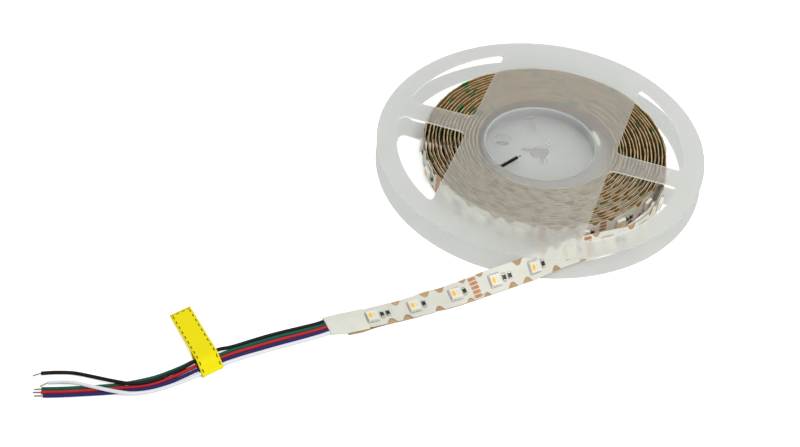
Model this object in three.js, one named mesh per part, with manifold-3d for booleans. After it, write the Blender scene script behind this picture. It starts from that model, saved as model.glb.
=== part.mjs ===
// LED strip light reel: two clear plastic reel halves, a wound flexible light strip with its free end,
// the lead wires and a folded label. Millimetres, +Z up, the reel lies on its lower flange.
import * as THREE from 'three';
import { mergeVertices } from 'three/addons/utils/BufferGeometryUtils.js';
import Module from 'manifold-3d';

const wasm = await Module();
wasm.setup();

// Reel halves
const flangeRadius = 84;
const flangeThickness = 0.7;
const hubRadius = 29.2;
const hubWall = 1.3;
const hubFloor = 0.9;
const hubLipRadius = 1.0;
const halvesGap = 0.1; // between the two hub floors
const windowRadius = 73.7;
const windowChord = 37.9; // from the axis to the straight edge of a window
const windowFillet = 4.2;
const spokeWidthInner = 13.6;
const spokeWidthOuter = 12.8;
const spokeAngle = -16.5; // degrees, of the spokes round the reel axis
const arborRadius = 5;
const arborNotchReach = 9.2;
const arborNotchWidth = 3.2;
const arborNotchAngles = [52.5, 172.5, 292.5]; // degrees from the spoke, on each half
const floorSlotAngle = -117.5;
const floorSlotWidth = 4.4;
const floorSlotInner = 14.2;
const floorSlotOuter = 26.6;
const floorHoleAngle = -174.5;
const floorHoleRadius = 4.6;
const floorHoleReach = 20;
const leadPortAngle = 127.5;
const leadPortWidth = 7.4;
const leadPortHeight = 4.2;
const revolveSteps = 64;

// Light strip
const stripWidth = 12;
const stripSideGap = 0.1; // between an edge of the wound strip and its flange
const stripThickness = 0.3;
const linerThickness = 0.2;
const linerGap = 0.05;
const tapeEdgeInset = 0.2; // the circuit is this much narrower than its liner at each edge
const turns = 15;
const turnPitch = 1.84;
const leadRoom = 5.8; // from the hub to the first turn, for the inner lead
const coilInnerOffset = [3, 1]; // centre of the first turn from the reel axis
const coilOuterOffset = [2.2, 0.3]; // centre of the last turn
const coilStepsPerTurn = 32;
const slicesPerSpan = 40; // of the free end's centre line, between two of its points
const circuitStepsPerLed = 20;
const linerStepsPerLed = 5;
const floorClearance = 0.05; // under the liner of the free end and under the label

// Parts on the strip
const ledPitch = 20.83;
const ledSize = 5;
const ledHeight = 1.5;
const ledBowlRadius = 2.1;
const ledBowlTaper = 0.85; // of the bowl's floor against its mouth
const ledBowlDepth = 0.35;
const seatGap = 0.25; // between a component and the curved strip
const ledCount = 9;
const resistorLength = 3.2;
const resistorWidth = 1.6;
const resistorHeight = 0.55;
const resistorFirst = 4.8; // from the centre of its LED along the strip
const resistorSecond = 7.7;
const notchWidth = 4.2;
const notchDepth = 2.7;
const padNotchWidth = 3.4;
const padNotchDepth = 1.9;

// Sleeve and wires
const sleeveLength = 18.1;
const sleeveStart = -21.3; // along the strip, from the first LED
const sleeveWall = 0.3;
const sleeveClearance = 0.15;
const stripEndInSleeve = -13.5;
const sleeveMouthWidth = 10.2;
const sleeveMouthLift = 0.3; // of the end where the wires enter, above the strip's plane
const sleeveShoulder = 1.2; // from the end of the strip to where the sleeve starts to narrow
const sleeveTaperLift = 0.2;
const sleeveMouthRounding = 0.75;
const sleeveTaperRounding = 0.6;
const sleeveRounding = 0.5;
const sleeveInnerRounding = 0.2;
const linerDropSpans = 2.6; // lengths in an LED pitch, over which the liner comes up again past the sleeve
const wireDiameter = 1.7;
const wireSides = 8;
const wireStep = 3 * wireDiameter;
const wireGap = 0.3; // between a wire's end and what follows it
const tipDiameter = 0.8;
const innerLeadStart = 26; // degrees round the hub
const innerLeadPitch = 1.95;
const innerLeadEnds = { white: 186, blue: 192, red: 198, green: 204 };
const innerLeadClearance = 0.35;
const innerSleeveAngle = 20; // degrees of the hub that the inner sleeve covers
const innerSleeveSteps = 6;
const innerSleeveOutset = 0.2; // of its middle beyond the middle of the wires
const innerSleeveMargin = 0.25; // round the wires on each side
const innerSleeveCover = 0.4; // above and below the stack of wires
const cupWireHeight = 2.2; // of the black wire in the cup above the reel's middle

// Label
const labelWidth = 10;
const labelLength = 41.5;
const labelThickness = 0.2;
const labelFold = [-147.4, -157.5];
const labelRun = [-0.488, 0.873];
const labelAcross = [0.78, 0.625];

const flangeSpacing = stripWidth + 2 * stripSideGap;
const reelHeight = flangeSpacing + 2 * flangeThickness;
const midHeight = reelHeight / 2;
const coilInnerRadius = hubRadius + leadRoom;
const coilOuterRadius = coilInnerRadius + turns * turnPitch;
const degree = Math.PI / 180;

const finishes = {
  clearPlastic: new THREE.MeshStandardMaterial({
    color: 0xdfe3e0,
    roughness: 0.35,
    metalness: 0,
    transparent: true,
    opacity: 0.5,
  }),
  circuit: new THREE.MeshStandardMaterial({ color: 0xe6e7e0, roughness: 0.5, metalness: 0 }),
  liner: new THREE.MeshStandardMaterial({ color: 0xc4a37a, roughness: 0.8, metalness: 0 }),
  led: new THREE.MeshStandardMaterial({ color: 0xf2f0e2, roughness: 0.4, metalness: 0 }),
  resistor: new THREE.MeshStandardMaterial({ color: 0x25241f, roughness: 0.4, metalness: 0 }),
  sleeve: new THREE.MeshStandardMaterial({ color: 0xe7e8dc, roughness: 0.6, metalness: 0 }),
  label: new THREE.MeshStandardMaterial({ color: 0xf5ea08, roughness: 0.5, metalness: 0 }),
  tinned: new THREE.MeshStandardMaterial({ color: 0xb9b3a4, roughness: 0.35, metalness: 1 }),
  black: new THREE.MeshStandardMaterial({ color: 0x15140f, roughness: 0.45, metalness: 0 }),
  green: new THREE.MeshStandardMaterial({ color: 0x0b6b50, roughness: 0.45, metalness: 0 }),
  red: new THREE.MeshStandardMaterial({ color: 0xc4333a, roughness: 0.45, metalness: 0 }),
  blue: new THREE.MeshStandardMaterial({ color: 0x2a2a78, roughness: 0.45, metalness: 0 }),
  white: new THREE.MeshStandardMaterial({ color: 0xe4e8e8, roughness: 0.45, metalness: 0 }),
};

const reel = new THREE.Group();
reel.name = 'led_strip_light_reel';

// A closed mesh with merged vertices, no collapsed triangles and its faces pointing out
function closed(geometry) {
  const bare = geometry.clone();
  for (const name of Object.keys(bare.attributes)) {
    if (name !== 'position') bare.deleteAttribute(name);
  }
  const merged = mergeVertices(bare, 1e-4);
  const kept = [];
  const index = merged.index.array;
  const at = (i) => new THREE.Vector3().fromBufferAttribute(merged.attributes.position, i);
  let volume = 0;
  for (let i = 0; i < index.length; i += 3) {
    const [a, b, c] = [index[i], index[i + 1], index[i + 2]];
    if (a === b || b === c || c === a) continue;
    kept.push(a, b, c);
    volume += at(a).dot(at(b).cross(at(c)));
  }
  if (volume < 0) kept.reverse();
  merged.setIndex(kept);
  merged.computeVertexNormals();
  return merged;
}

function solidOf(geometry) {
  const ready = closed(geometry);
  return new wasm.Manifold(new wasm.Mesh({
    numProp: 3,
    vertProperties: new Float32Array(ready.attributes.position.array),
    triVerts: new Uint32Array(ready.index.array),
  }));
}

function geometryOf(solid) {
  const mesh = solid.getMesh();
  const geometry = new THREE.BufferGeometry();
  geometry.setAttribute('position', new THREE.BufferAttribute(new Float32Array(mesh.vertProperties), 3));
  geometry.setIndex(Array.from(mesh.triVerts));
  geometry.computeVertexNormals();
  return geometry;
}

function place(name, geometry, material, parent = reel) {
  const mesh = new THREE.Mesh(geometry, material);
  mesh.name = name;
  parent.add(mesh);
  return mesh;
}

// A closed skin through rings of points, with a flat cap on the first and the last ring. Both halves of
// a ring are split along the same diagonal, so that a twisted strip keeps its thickness.
function loft(rings) {
  const count = rings[0].length;
  const points = rings.flat().flatMap((p) => [p.x, p.y, p.z]);
  const faces = [];
  for (let i = 0; i + 1 < rings.length; i += 1) {
    for (let j = 0; j < count; j += 1) {
      const a = i * count + j;
      const b = i * count + ((j + 1) % count);
      if (j < count / 2) faces.push(a, b, a + count, b, b + count, a + count);
      else faces.push(a, b, b + count, a, b + count, a + count);
    }
  }
  const last = (rings.length - 1) * count;
  for (let j = 1; j + 1 < count; j += 1) {
    faces.push(0, j + 1, j, last, last + j, last + j + 1);
  }
  const geometry = new THREE.BufferGeometry();
  geometry.setAttribute('position', new THREE.Float32BufferAttribute(points, 3));
  geometry.setIndex(faces);
  return closed(geometry);
}

function roundTube(curve, diameter, steps) {
  const outline = new THREE.Shape();
  for (let i = 0; i < wireSides; i += 1) {
    const angle = (i * 2 * Math.PI) / wireSides;
    const [x, y] = [Math.cos(angle) * diameter / 2, Math.sin(angle) * diameter / 2];
    if (i === 0) outline.moveTo(x, y);
    else outline.lineTo(x, y);
  }
  return closed(new THREE.ExtrudeGeometry(outline, { steps, bevelEnabled: false, extrudePath: curve }));
}

// Reel halves: each is one moulding, revolved and then pierced
function revolvedHalf() {
  const cup = hubRadius - hubWall;
  const floorTop = midHeight - halvesGap / 2;
  const floorBottom = floorTop - hubFloor;
  const rim = flangeThickness / 2;
  const profile = new THREE.Path();
  profile.moveTo(0, floorBottom);
  profile.lineTo(cup, floorBottom);
  profile.lineTo(cup, hubLipRadius);
  profile.absarc(cup + hubLipRadius, hubLipRadius, hubLipRadius, Math.PI, 1.5 * Math.PI, false);
  profile.lineTo(flangeRadius - rim, 0);
  profile.absarc(flangeRadius - rim, rim, rim, -Math.PI / 2, Math.PI / 2, false);
  profile.lineTo(hubRadius, flangeThickness);
  profile.lineTo(hubRadius, floorTop);
  profile.lineTo(0, floorTop);
  const revolved = new THREE.LatheGeometry(profile.getPoints(2), revolveSteps);
  revolved.rotateX(Math.PI / 2);
  return solidOf(revolved);
}

function spokeHalfWidth(x) {
  const share = (x - windowChord) / (windowRadius - windowChord);
  return THREE.MathUtils.lerp(spokeWidthInner, spokeWidthOuter, share) / 2;
}

// One of the four windows: a straight edge, an arc and the side of the spoke, with rounded corners
function windowOutline() {
  const chordEnd = Math.acos(windowChord / windowRadius);
  const spokeEnd = Math.asin(spokeHalfWidth(windowRadius) / windowRadius);
  const turn = windowFillet / windowRadius;
  const onArc = (angle) => [windowRadius * Math.cos(angle), windowRadius * Math.sin(angle)];
  const [cornerX, cornerY] = onArc(chordEnd);
  const [tipX, tipY] = onArc(spokeEnd);
  const innerY = spokeHalfWidth(windowChord);
  const outline = new THREE.Shape();
  outline.moveTo(windowChord, innerY + windowFillet);
  outline.lineTo(cornerX, cornerY - windowFillet);
  outline.quadraticCurveTo(cornerX, cornerY, ...onArc(chordEnd - turn));
  outline.absarc(0, 0, windowRadius, chordEnd - turn, spokeEnd + turn, true);
  outline.quadraticCurveTo(tipX, tipY, tipX - windowFillet, spokeHalfWidth(tipX - windowFillet));
  outline.lineTo(windowChord + windowFillet, spokeHalfWidth(windowChord + windowFillet));
  outline.quadraticCurveTo(windowChord, innerY, windowChord, innerY + windowFillet);
  return outline;
}

function prism(outline, low, high, curveSegments) {
  const depth = high - low;
  const geometry = new THREE.ExtrudeGeometry(outline, { depth, bevelEnabled: false, curveSegments });
  geometry.translate(0, 0, low);
  return geometry;
}

function rectangle(x0, x1, width) {
  return new THREE.Shape([
    new THREE.Vector2(x0, -width / 2),
    new THREE.Vector2(x1, -width / 2),
    new THREE.Vector2(x1, width / 2),
    new THREE.Vector2(x0, width / 2),
  ]);
}

function reelHalf() {
  const over = 1; // how far a cutter runs past the faces that it cuts
  const cutters = [];
  for (const [sx, sy] of [[1, 1], [-1, 1], [-1, -1], [1, -1]]) {
    const cutter = prism(windowOutline(), -over, flangeThickness + over, 6);
    cutter.scale(sx, sy, 1);
    cutters.push(cutter);
  }
  const low = midHeight - halvesGap / 2 - hubFloor - over;
  const high = midHeight + over;
  cutters.push(prism(new THREE.Shape().absarc(0, 0, arborRadius, 0, 2 * Math.PI), low, high, 12));
  for (const angle of arborNotchAngles) {
    const notch = prism(rectangle(0, arborNotchReach, arborNotchWidth), low, high, 1);
    cutters.push(notch.rotateZ(angle * degree));
  }
  const slot = prism(rectangle(floorSlotInner, floorSlotOuter, floorSlotWidth), low, high, 1);
  cutters.push(slot.rotateZ(floorSlotAngle * degree));
  const hole = prism(new THREE.Shape().absarc(0, 0, floorHoleRadius, 0, 2 * Math.PI), low, high, 10);
  hole.translate(floorHoleReach, 0, 0);
  cutters.push(hole.rotateZ(floorHoleAngle * degree));
  const portTop = midHeight - halvesGap / 2 - hubFloor;
  const portOutline = rectangle(hubRadius - hubWall - over, hubRadius + over, leadPortWidth);
  const port = prism(portOutline, portTop - leadPortHeight, portTop, 1);
  cutters.push(port.rotateZ(leadPortAngle * degree));
  let half = revolvedHalf();
  for (const cutter of cutters) half = half.subtract(solidOf(cutter));
  return geometryOf(half);
}

// The strip's free end: height of its lower edge and its lean from flat to upright, with its centre
// in plan as a point, or beside the coil as an angle and the room to the outer turn.
// The first point is in the sleeve, then one at each LED, and the last ones run on to the coil.
const freeEnd = [
  { x: -98.0, y: -125.0, edge: 1.0, lean: 0 },
  { x: -88.4, y: -121.5, edge: 1.0, lean: 0 },
  { x: -78.7, y: -117.7, edge: 0.95, lean: 1 },
  { x: -59.8, y: -109.5, edge: 0.55, lean: 6 },
  { x: -41.1, y: -100.8, edge: 0.55, lean: 15 },
  { x: -22.8, y: -91.4, edge: 0.6, lean: 31 },
  { x: -4.5, y: -82.4, edge: 1.1, lean: 46 },
  { angle: -81.6, room: 9.8, edge: 1.2, lean: 50 },
  { angle: -64.9, room: 6.9, edge: 1.0, lean: 59 },
  { angle: -54.7, room: 8.2, edge: 0.85, lean: 72 },
  { angle: -44.6, room: 6.8, edge: 0.8, lean: 84 },
  { angle: -33.7, room: 4.0, edge: 0.8, lean: 90 },
  { angle: -20.7, room: 1.8, edge: 0.8, lean: 90 },
];
const firstLedStation = 2;

// Centre of the tape in plan at a share of the winding, from 0 at the inner end to 1 at the outer end
function coilPoint(share) {
  const radius = THREE.MathUtils.lerp(coilInnerRadius, coilOuterRadius, share);
  const angle = (1 - share) * turns * 2 * Math.PI;
  const x = THREE.MathUtils.lerp(coilInnerOffset[0], coilOuterOffset[0], share);
  const y = THREE.MathUtils.lerp(coilInnerOffset[1], coilOuterOffset[1], share);
  return [x + radius * Math.cos(angle), y + radius * Math.sin(angle)];
}

const coilEdge = flangeThickness + (flangeSpacing - stripWidth) / 2;

function freeEndPlan(spot) {
  if (spot.room === undefined) return new THREE.Vector3(spot.x, spot.y, 0);
  const radius = coilOuterRadius + spot.room;
  const angle = spot.angle * degree;
  const [x, y] = coilOuterOffset;
  return new THREE.Vector3(x + radius * Math.cos(angle), y + radius * Math.sin(angle), 0);
}

// Stations along the free end, with the distance from the first LED
function freeEndStations() {
  const [joinX, joinY] = coilPoint(1);
  const plan = freeEnd.map(freeEndPlan);
  plan.push(new THREE.Vector3(joinX, joinY, 0));
  const poise = freeEnd.map((p) => new THREE.Vector3(p.edge, p.lean, 0));
  poise.push(new THREE.Vector3(coilEdge, 90, 0));
  const planCurve = new THREE.CatmullRomCurve3(plan);
  const poiseCurve = new THREE.CatmullRomCurve3(poise, false, 'catmullrom', 0.5);
  const last = plan.length - 1;
  const slices = last * slicesPerSpan;
  const stations = [];
  let along = 0;
  let zero = 0;
  for (let i = 0; i <= slices; i += 1) {
    const t = i / slices;
    const p = planCurve.getPoint(t);
    const { x: edge, y: lean } = poiseCurve.getPoint(t);
    const forward = planCurve.getTangent(t);
    if (i > 0) along += p.distanceTo(stations[i - 1].plan);
    if (i === firstLedStation * slicesPerSpan) zero = along;
    stations.push({ plan: p, forward, edge, lean: Math.min(lean, 90) * degree, along });
  }
  for (const station of stations) station.along -= zero;
  return stations.map(stationFrame);
}

// Centre, upward edge direction and face normal of the strip at a station
function stationFrame({ plan, forward, edge, lean, along }) {
  const left = new THREE.Vector3(-forward.y, forward.x, 0).normalize();
  const up = left.clone().multiplyScalar(Math.cos(lean)).add(new THREE.Vector3(0, 0, Math.sin(lean)));
  const normal = forward.clone().normalize().cross(up);
  const centre = new THREE.Vector3(plan.x, plan.y, edge + (stripWidth / 2) * Math.sin(lean));
  return { centre, forward: forward.clone().normalize(), up, normal, along };
}

const freeStations = freeEndStations();

function stationAt(along) {
  const after = freeStations.findIndex((s) => s.along >= along);
  const b = freeStations[Math.max(after, 1)];
  const a = freeStations[Math.max(after, 1) - 1];
  const share = (along - a.along) / (b.along - a.along);
  return {
    centre: a.centre.clone().lerp(b.centre, share),
    forward: a.forward.clone().lerp(b.forward, share).normalize(),
    up: a.up.clone().lerp(b.up, share).normalize(),
    normal: a.normal.clone().lerp(b.normal, share).normalize(),
    along,
  };
}

const freeEndReach = freeStations[freeStations.length - 1].along;

// Edge notches between LEDs as shares of the pitch; the kinds repeat over three LEDs
const notchKinds = [
  { upper: [0.63], lower: [0.38, 0.75], width: notchWidth, depth: notchDepth },
  { upper: [0.345, 0.71], lower: [0.52], width: notchWidth, depth: notchDepth },
  { upper: [0.28, 0.71], lower: [0.28, 0.71], width: padNotchWidth, depth: padNotchDepth },
];

function notchDepthAt(along, edge) {
  const led = Math.floor(along / ledPitch);
  const kind = notchKinds[((led % 3) + 3) % 3];
  let depth = 0;
  for (const share of kind[edge]) {
    const away = Math.abs(along - (led + share) * ledPitch);
    if (away < kind.width / 2) {
      depth = kind.depth * Math.cos((away / kind.width) * Math.PI) ** 0.8;
    }
  }
  return depth;
}

function tapeRing(station, upReach, downReach, front, back) {
  const corner = (across, out) => station.centre.clone()
    .addScaledVector(station.up, across)
    .addScaledVector(station.normal, out);
  return [
    corner(-downReach, back), corner(-downReach, front),
    corner(upReach, front), corner(upReach, back),
  ];
}

const frontFace = stripThickness / 2;
const linerFront = -stripThickness / 2 - linerGap;
const linerBack = linerFront - linerThickness;

function ledStrip() {
  const rings = [];
  const half = stripWidth / 2 - tapeEdgeInset;
  const step = ledPitch / circuitStepsPerLed;
  for (let along = stripEndInSleeve; along < freeEndReach - step; along += step) {
    const hidden = along < sleeveStart + sleeveLength + 1 || along > freeEndReach - ledPitch / 2;
    const upper = hidden ? half : half - notchDepthAt(along, 'upper');
    const lower = hidden ? half : half - notchDepthAt(along, 'lower');
    rings.push(tapeRing(stationAt(along), upper, lower, frontFace, -frontFace));
  }
  const steps = turns * coilStepsPerTurn;
  for (let i = steps; i >= 0; i -= 1) {
    const [x, y] = coilPoint(i / steps);
    const [xa, ya] = coilPoint(Math.min((i + 0.5) / steps, 1));
    const [xb, yb] = coilPoint(Math.max((i - 0.5) / steps, 0));
    const plan = new THREE.Vector3(x, y, 0);
    const forward = new THREE.Vector3(xb - xa, yb - ya, 0);
    const station = stationFrame({ plan, forward, edge: coilEdge, lean: Math.PI / 2, along: 0 });
    rings.push(tapeRing(station, stripWidth / 2, stripWidth / 2, frontFace, linerBack));
  }
  return loft(rings);
}

// The liner drops away from the circuit under the sleeve, where the sleeve's wall lies between them
function linerDrop(along) {
  const room = sleeveWall + 2 * sleeveClearance;
  return THREE.MathUtils.clamp((ledPitch / 4 - along) / (ledPitch / linerDropSpans), 0, 1) * room;
}

function tailLiner() {
  const rings = [];
  const step = ledPitch / linerStepsPerLed;
  for (let along = stripEndInSleeve; along < freeEndReach - step; along += step) {
    const station = stationAt(along);
    const lowEdge = station.centre.z - (stripWidth / 2) * station.up.z;
    const drop = THREE.MathUtils.clamp(linerDrop(along), 0, lowEdge + linerBack - floorClearance);
    rings.push(tapeRing(station, stripWidth / 2, stripWidth / 2, linerFront - drop, linerBack - drop));
  }
  return loft(rings);
}

function seatOn(mesh, along, across, height) {
  const station = stationAt(along);
  const basis = new THREE.Matrix4().makeBasis(station.forward, station.up, station.normal);
  mesh.quaternion.setFromRotationMatrix(basis);
  mesh.position.copy(station.centre)
    .addScaledVector(station.up, across)
    .addScaledVector(station.normal, frontFace + seatGap + height / 2);
}

function ledPackage() {
  const body = solidOf(new THREE.BoxGeometry(ledSize, ledSize, ledHeight));
  const bowlFloor = ledBowlRadius * ledBowlTaper;
  const bowl = new THREE.CylinderGeometry(ledBowlRadius, bowlFloor, ledBowlDepth * 2, 16);
  bowl.rotateX(Math.PI / 2);
  bowl.translate(0, 0, ledHeight / 2);
  return geometryOf(body.subtract(solidOf(bowl)));
}

function addComponents() {
  const led = ledPackage();
  const chip = closed(new THREE.BoxGeometry(resistorWidth, resistorLength, resistorHeight));
  let resistor = 0;
  for (let i = 0; i < ledCount; i += 1) {
    seatOn(place(`led_${i + 1}`, led, finishes.led), i * ledPitch, 0, ledHeight);
    const offsets = i % 3 === 0 ? [resistorFirst, resistorSecond] : [resistorFirst];
    for (const offset of offsets) {
      resistor += 1;
      const body = place(`resistor_${resistor}`, chip, finishes.resistor);
      seatOn(body, i * ledPitch + offset, 0, resistorHeight);
    }
  }
}

// A flattened tube round the strip's end; it narrows and closes where the wires enter
function sleeveRing(station, width, height, corner, lift) {
  const ring = [];
  const [a, b] = [width / 2 - corner, height / 2 - corner];
  for (const [sx, sy, start] of [[1, 1, 0], [-1, 1, 90], [-1, -1, 180], [1, -1, 270]]) {
    for (const angle of [start, start + 45, start + 90]) {
      const across = sx * a + corner * Math.cos(angle * degree);
      const out = sy * b + corner * Math.sin(angle * degree) + lift;
      const spot = station.centre.clone().addScaledVector(station.up, across);
      ring.push(spot.addScaledVector(station.normal, out));
    }
  }
  return ring;
}

function outerSleeve() {
  const mouth = sleeveStart + sleeveLength;
  const insideWidth = stripWidth - 2 * tapeEdgeInset + 2 * sleeveClearance;
  const insideHeight = stripThickness + 2 * sleeveClearance;
  const pocket = stripEndInSleeve - sleeveClearance;
  const shoulder = pocket - sleeveShoulder;
  const middle = (shoulder + mouth) / 2;
  const taper = (sleeveStart + shoulder) / 2;
  const outer = (width, height) => [width + 2 * sleeveWall, height + 2 * sleeveWall];
  const [wide, high] = outer(insideWidth, insideHeight);
  const sections = [
    [sleeveStart, sleeveMouthWidth, wireDiameter + sleeveWall, sleeveMouthRounding, sleeveMouthLift],
    [taper, (sleeveMouthWidth + wide) / 2, wireDiameter, sleeveTaperRounding, sleeveTaperLift],
    [shoulder, wide, high, sleeveRounding, 0],
    [middle, wide, high, sleeveRounding, 0],
    [mouth, wide, high, sleeveRounding, 0],
    [mouth, insideWidth, insideHeight, sleeveInnerRounding, 0],
    [middle, insideWidth, insideHeight, sleeveInnerRounding, 0],
    [pocket, insideWidth, insideHeight, sleeveInnerRounding, 0],
  ];
  return loft(sections.map(([along, ...size]) => sleeveRing(stationAt(along), ...size)));
}

// Routes of the five lead wires on the surface, from the sleeve to their bare ends
const wireRoutes = {
  black: [
    [-101.0, -122.7, 1.3], [-104.6, -124.5, 1.1], [-111.2, -127.3, 1.0], [-118.0, -130.2, 1.0],
    [-124.8, -133.3, 1.0], [-131.5, -136.7, 1.0], [-138.0, -140.3, 1.1], [-142.5, -142.9, 1.6],
    [-146.7, -145.4, 2.6], [-150.3, -149.1, 3.1], [-155.9, -153.4, 3.0], [-161.0, -157.8, 2.5],
    [-166.2, -161.8, 2.7], [-171.9, -165.6, 2.7], [-177.4, -167.9, 2.8], [-183.0, -168.8, 2.8],
    [-188.5, -168.2, 2.8], [-194.0, -166.5, 1.8], [-201.0, -164.6, 1.0], [-208.4, -163.5, 1.0],
    [-215.6, -163.8, 1.0], [-222.6, -164.9, 1.0],
  ],
  green: [
    [-100.2, -124.3, 1.3], [-103.8, -126.2, 1.1], [-110.4, -129.1, 1.0], [-117.1, -132.0, 1.0],
    [-123.9, -135.2, 1.0], [-130.5, -138.5, 1.0], [-137.0, -142.1, 1.2], [-141.6, -144.5, 1.3],
    [-145.6, -147.2, 1.3], [-151.0, -149.7, 1.3], [-156.4, -152.0, 1.3], [-161.6, -155.7, 1.0],
    [-167.0, -159.4, 1.0], [-172.5, -162.7, 1.0], [-177.9, -165.0, 1.0], [-182.8, -166.8, 1.0],
    [-189.2, -168.8, 1.0], [-195.0, -170.0, 1.0], [-201.0, -171.1, 1.0], [-207.0, -172.1, 1.0],
    [-213.6, -173.0, 1.0], [-220.5, -173.8, 1.0],
  ],
  red: [
    [-99.3, -126.0, 1.3], [-103.0, -127.9, 1.1], [-109.6, -130.9, 1.0], [-116.3, -133.9, 1.0],
    [-123.0, -137.0, 1.0], [-129.6, -140.3, 1.0], [-136.1, -143.8, 1.2], [-140.5, -146.3, 1.3],
    [-144.6, -148.8, 1.3], [-149.6, -151.8, 1.3], [-155.4, -154.9, 1.3], [-160.8, -158.8, 1.0],
    [-166.1, -162.8, 1.0], [-171.9, -166.3, 1.0], [-177.9, -168.5, 1.0], [-185.4, -169.9, 1.0],
    [-191.5, -171.3, 1.0], [-198.0, -172.5, 1.0], [-204.3, -173.6, 1.0], [-211.0, -174.7, 1.0],
    [-220.3, -175.7, 1.0],
  ],
  blue: [
    [-98.4, -127.7, 1.3], [-102.2, -129.6, 1.1], [-108.8, -132.7, 1.0], [-115.5, -135.8, 1.0],
    [-122.1, -138.8, 1.0], [-128.7, -142.1, 1.0], [-135.1, -145.6, 1.1], [-139.5, -148.0, 1.3],
    [-143.6, -150.5, 1.3], [-148.6, -153.6, 1.3], [-154.6, -157.2, 1.3], [-160.0, -161.0, 1.0],
    [-165.4, -164.8, 1.0], [-171.3, -168.1, 1.0], [-177.1, -170.3, 1.0], [-183.4, -171.7, 1.0],
    [-190.0, -173.2, 1.0], [-197.3, -174.5, 1.0], [-206.0, -175.9, 1.0], [-212.9, -176.9, 1.0],
    [-219.1, -177.6, 1.0],
  ],
  white: [
    [-97.6, -129.3, 1.3], [-101.4, -131.3, 1.1], [-108.0, -134.5, 1.0], [-114.6, -137.6, 1.0],
    [-121.2, -140.7, 1.0], [-127.7, -143.9, 1.0], [-134.2, -147.3, 1.2], [-138.5, -149.7, 1.3],
    [-142.5, -152.1, 1.4], [-147.6, -155.6, 1.35], [-152.1, -158.9, 1.3], [-155.8, -161.4, 1.3],
    [-159.9, -164.0, 1.0], [-165.3, -167.2, 1.0], [-171.2, -170.2, 1.0], [-176.6, -172.2, 1.2],
    [-181.6, -173.6, 1.9], [-187.3, -173.8, 2.7], [-192.8, -173.1, 2.9], [-199.6, -171.8, 2.9],
    [-206.7, -170.3, 2.6], [-213.0, -169.4, 1.2], [-218.4, -169.9, 1.0],
  ],
};
const tipEnds = {
  black: [-226.1, -166.6, 0.9],
  green: [-223.8, -174.3, 0.9],
  red: [-224.0, -176.0, 0.9],
  blue: [-223.0, -177.9, 0.9],
  white: [-221.6, -172.4, 0.9],
};

function addWires() {
  for (const [colour, route] of Object.entries(wireRoutes)) {
    const points = route.map((p) => new THREE.Vector3(...p));
    const curve = new THREE.CatmullRomCurve3(points, false, 'catmullrom', 0.5);
    const steps = Math.round(curve.getLength() / wireStep);
    place(`wire_${colour}`, roundTube(curve, wireDiameter, steps), finishes[colour]);
    const end = points[points.length - 1];
    const tip = new THREE.Vector3(...tipEnds[colour]);
    const start = end.clone().add(tip.clone().sub(end).setLength(wireGap));
    const strand = roundTube(new THREE.LineCurve3(start, tip), tipDiameter, 1);
    place(`bare_end_${colour}`, strand, finishes.tinned);
  }
}

// The label: a strip folded round the wires, its two layers stuck together beyond them
function labelOutline() {
  const bottom = floorClearance;
  const between = bottom + labelThickness;
  const top = between + labelThickness;
  const outer = [
    [labelLength, bottom], [labelLength, top], [17, top], [14, 1.4], [12, 3.5], [10.5, 4.4],
    [8, 4.6], [6, 4.4], [3.6, 3.2], [1.6, 2.7], [0.4, 2.2], [-0.1, 1.3], [0.2, 0.4], [0.9, bottom],
  ];
  const inner = [
    [15.6, between], [13.8, 1.25], [11.8, 3.3], [10.4, 4.18], [8, 4.38], [6.1, 4.18], [3.7, 3.0],
    [1.7, 2.48], [0.6, 2.05], [0.12, 1.3], [0.4, 0.5], [1.0, between],
  ];
  const shape = new THREE.Shape(outer.map(([x, y]) => new THREE.Vector2(x, y)));
  shape.holes.push(new THREE.Path(inner.map(([x, y]) => new THREE.Vector2(x, y))));
  return shape;
}

function wireLabel() {
  const sheet = new THREE.ExtrudeGeometry(labelOutline(), { depth: labelWidth, bevelEnabled: false });
  sheet.translate(0, 0, -labelWidth / 2);
  const run = new THREE.Vector3(...labelRun, 0);
  const across = new THREE.Vector3(...labelAcross, 0);
  sheet.applyMatrix4(new THREE.Matrix4().makeBasis(run, new THREE.Vector3(0, 0, 1), across));
  sheet.translate(...labelFold, 0);
  return closed(sheet);
}

// Inner lead: five wires stacked on edge round the hub, from the strip's inner end
const innerLeadOrder = ['white', 'blue', 'red', 'green', 'black'];

function hubArc(from, to, height, radius, tail = []) {
  const points = [];
  const count = Math.ceil((to - from) / 12);
  for (let i = 0; i <= count; i += 1) {
    const angle = THREE.MathUtils.lerp(from, to, i / count) * degree;
    points.push(new THREE.Vector3(radius * Math.cos(angle), radius * Math.sin(angle), height));
  }
  return new THREE.CatmullRomCurve3(points.concat(tail), false, 'catmullrom', 0.5);
}

function addInnerLead() {
  const radius = hubRadius + innerLeadClearance + wireDiameter / 2;
  innerLeadOrder.forEach((colour, i) => {
    const height = midHeight + (i - (innerLeadOrder.length - 1) / 2) * innerLeadPitch;
    let curve;
    if (colour === 'black') {
      curve = blackInnerLead(radius, height);
    } else {
      curve = hubArc(innerLeadStart, innerLeadEnds[colour], height, radius);
    }
    const steps = Math.round(curve.getLength() / wireStep);
    place(`inner_wire_${colour}`, roundTube(curve, wireDiameter, steps), finishes[colour]);
  });
}

// The black inner wire runs round the hub, dips through the port in the hub wall and ends in the cup
const portAzimuth = spokeAngle - leadPortAngle + 360;
const blackInside = [[-19.6, -15.0], [-15.8, -11.4], [-11.6, -7.4]];
const blackInsideTip = [-9.5, -5.5];
const insideHeight = midHeight + cupWireHeight;

function inCup([x, y]) {
  return new THREE.Vector3(x, y, insideHeight);
}

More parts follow.
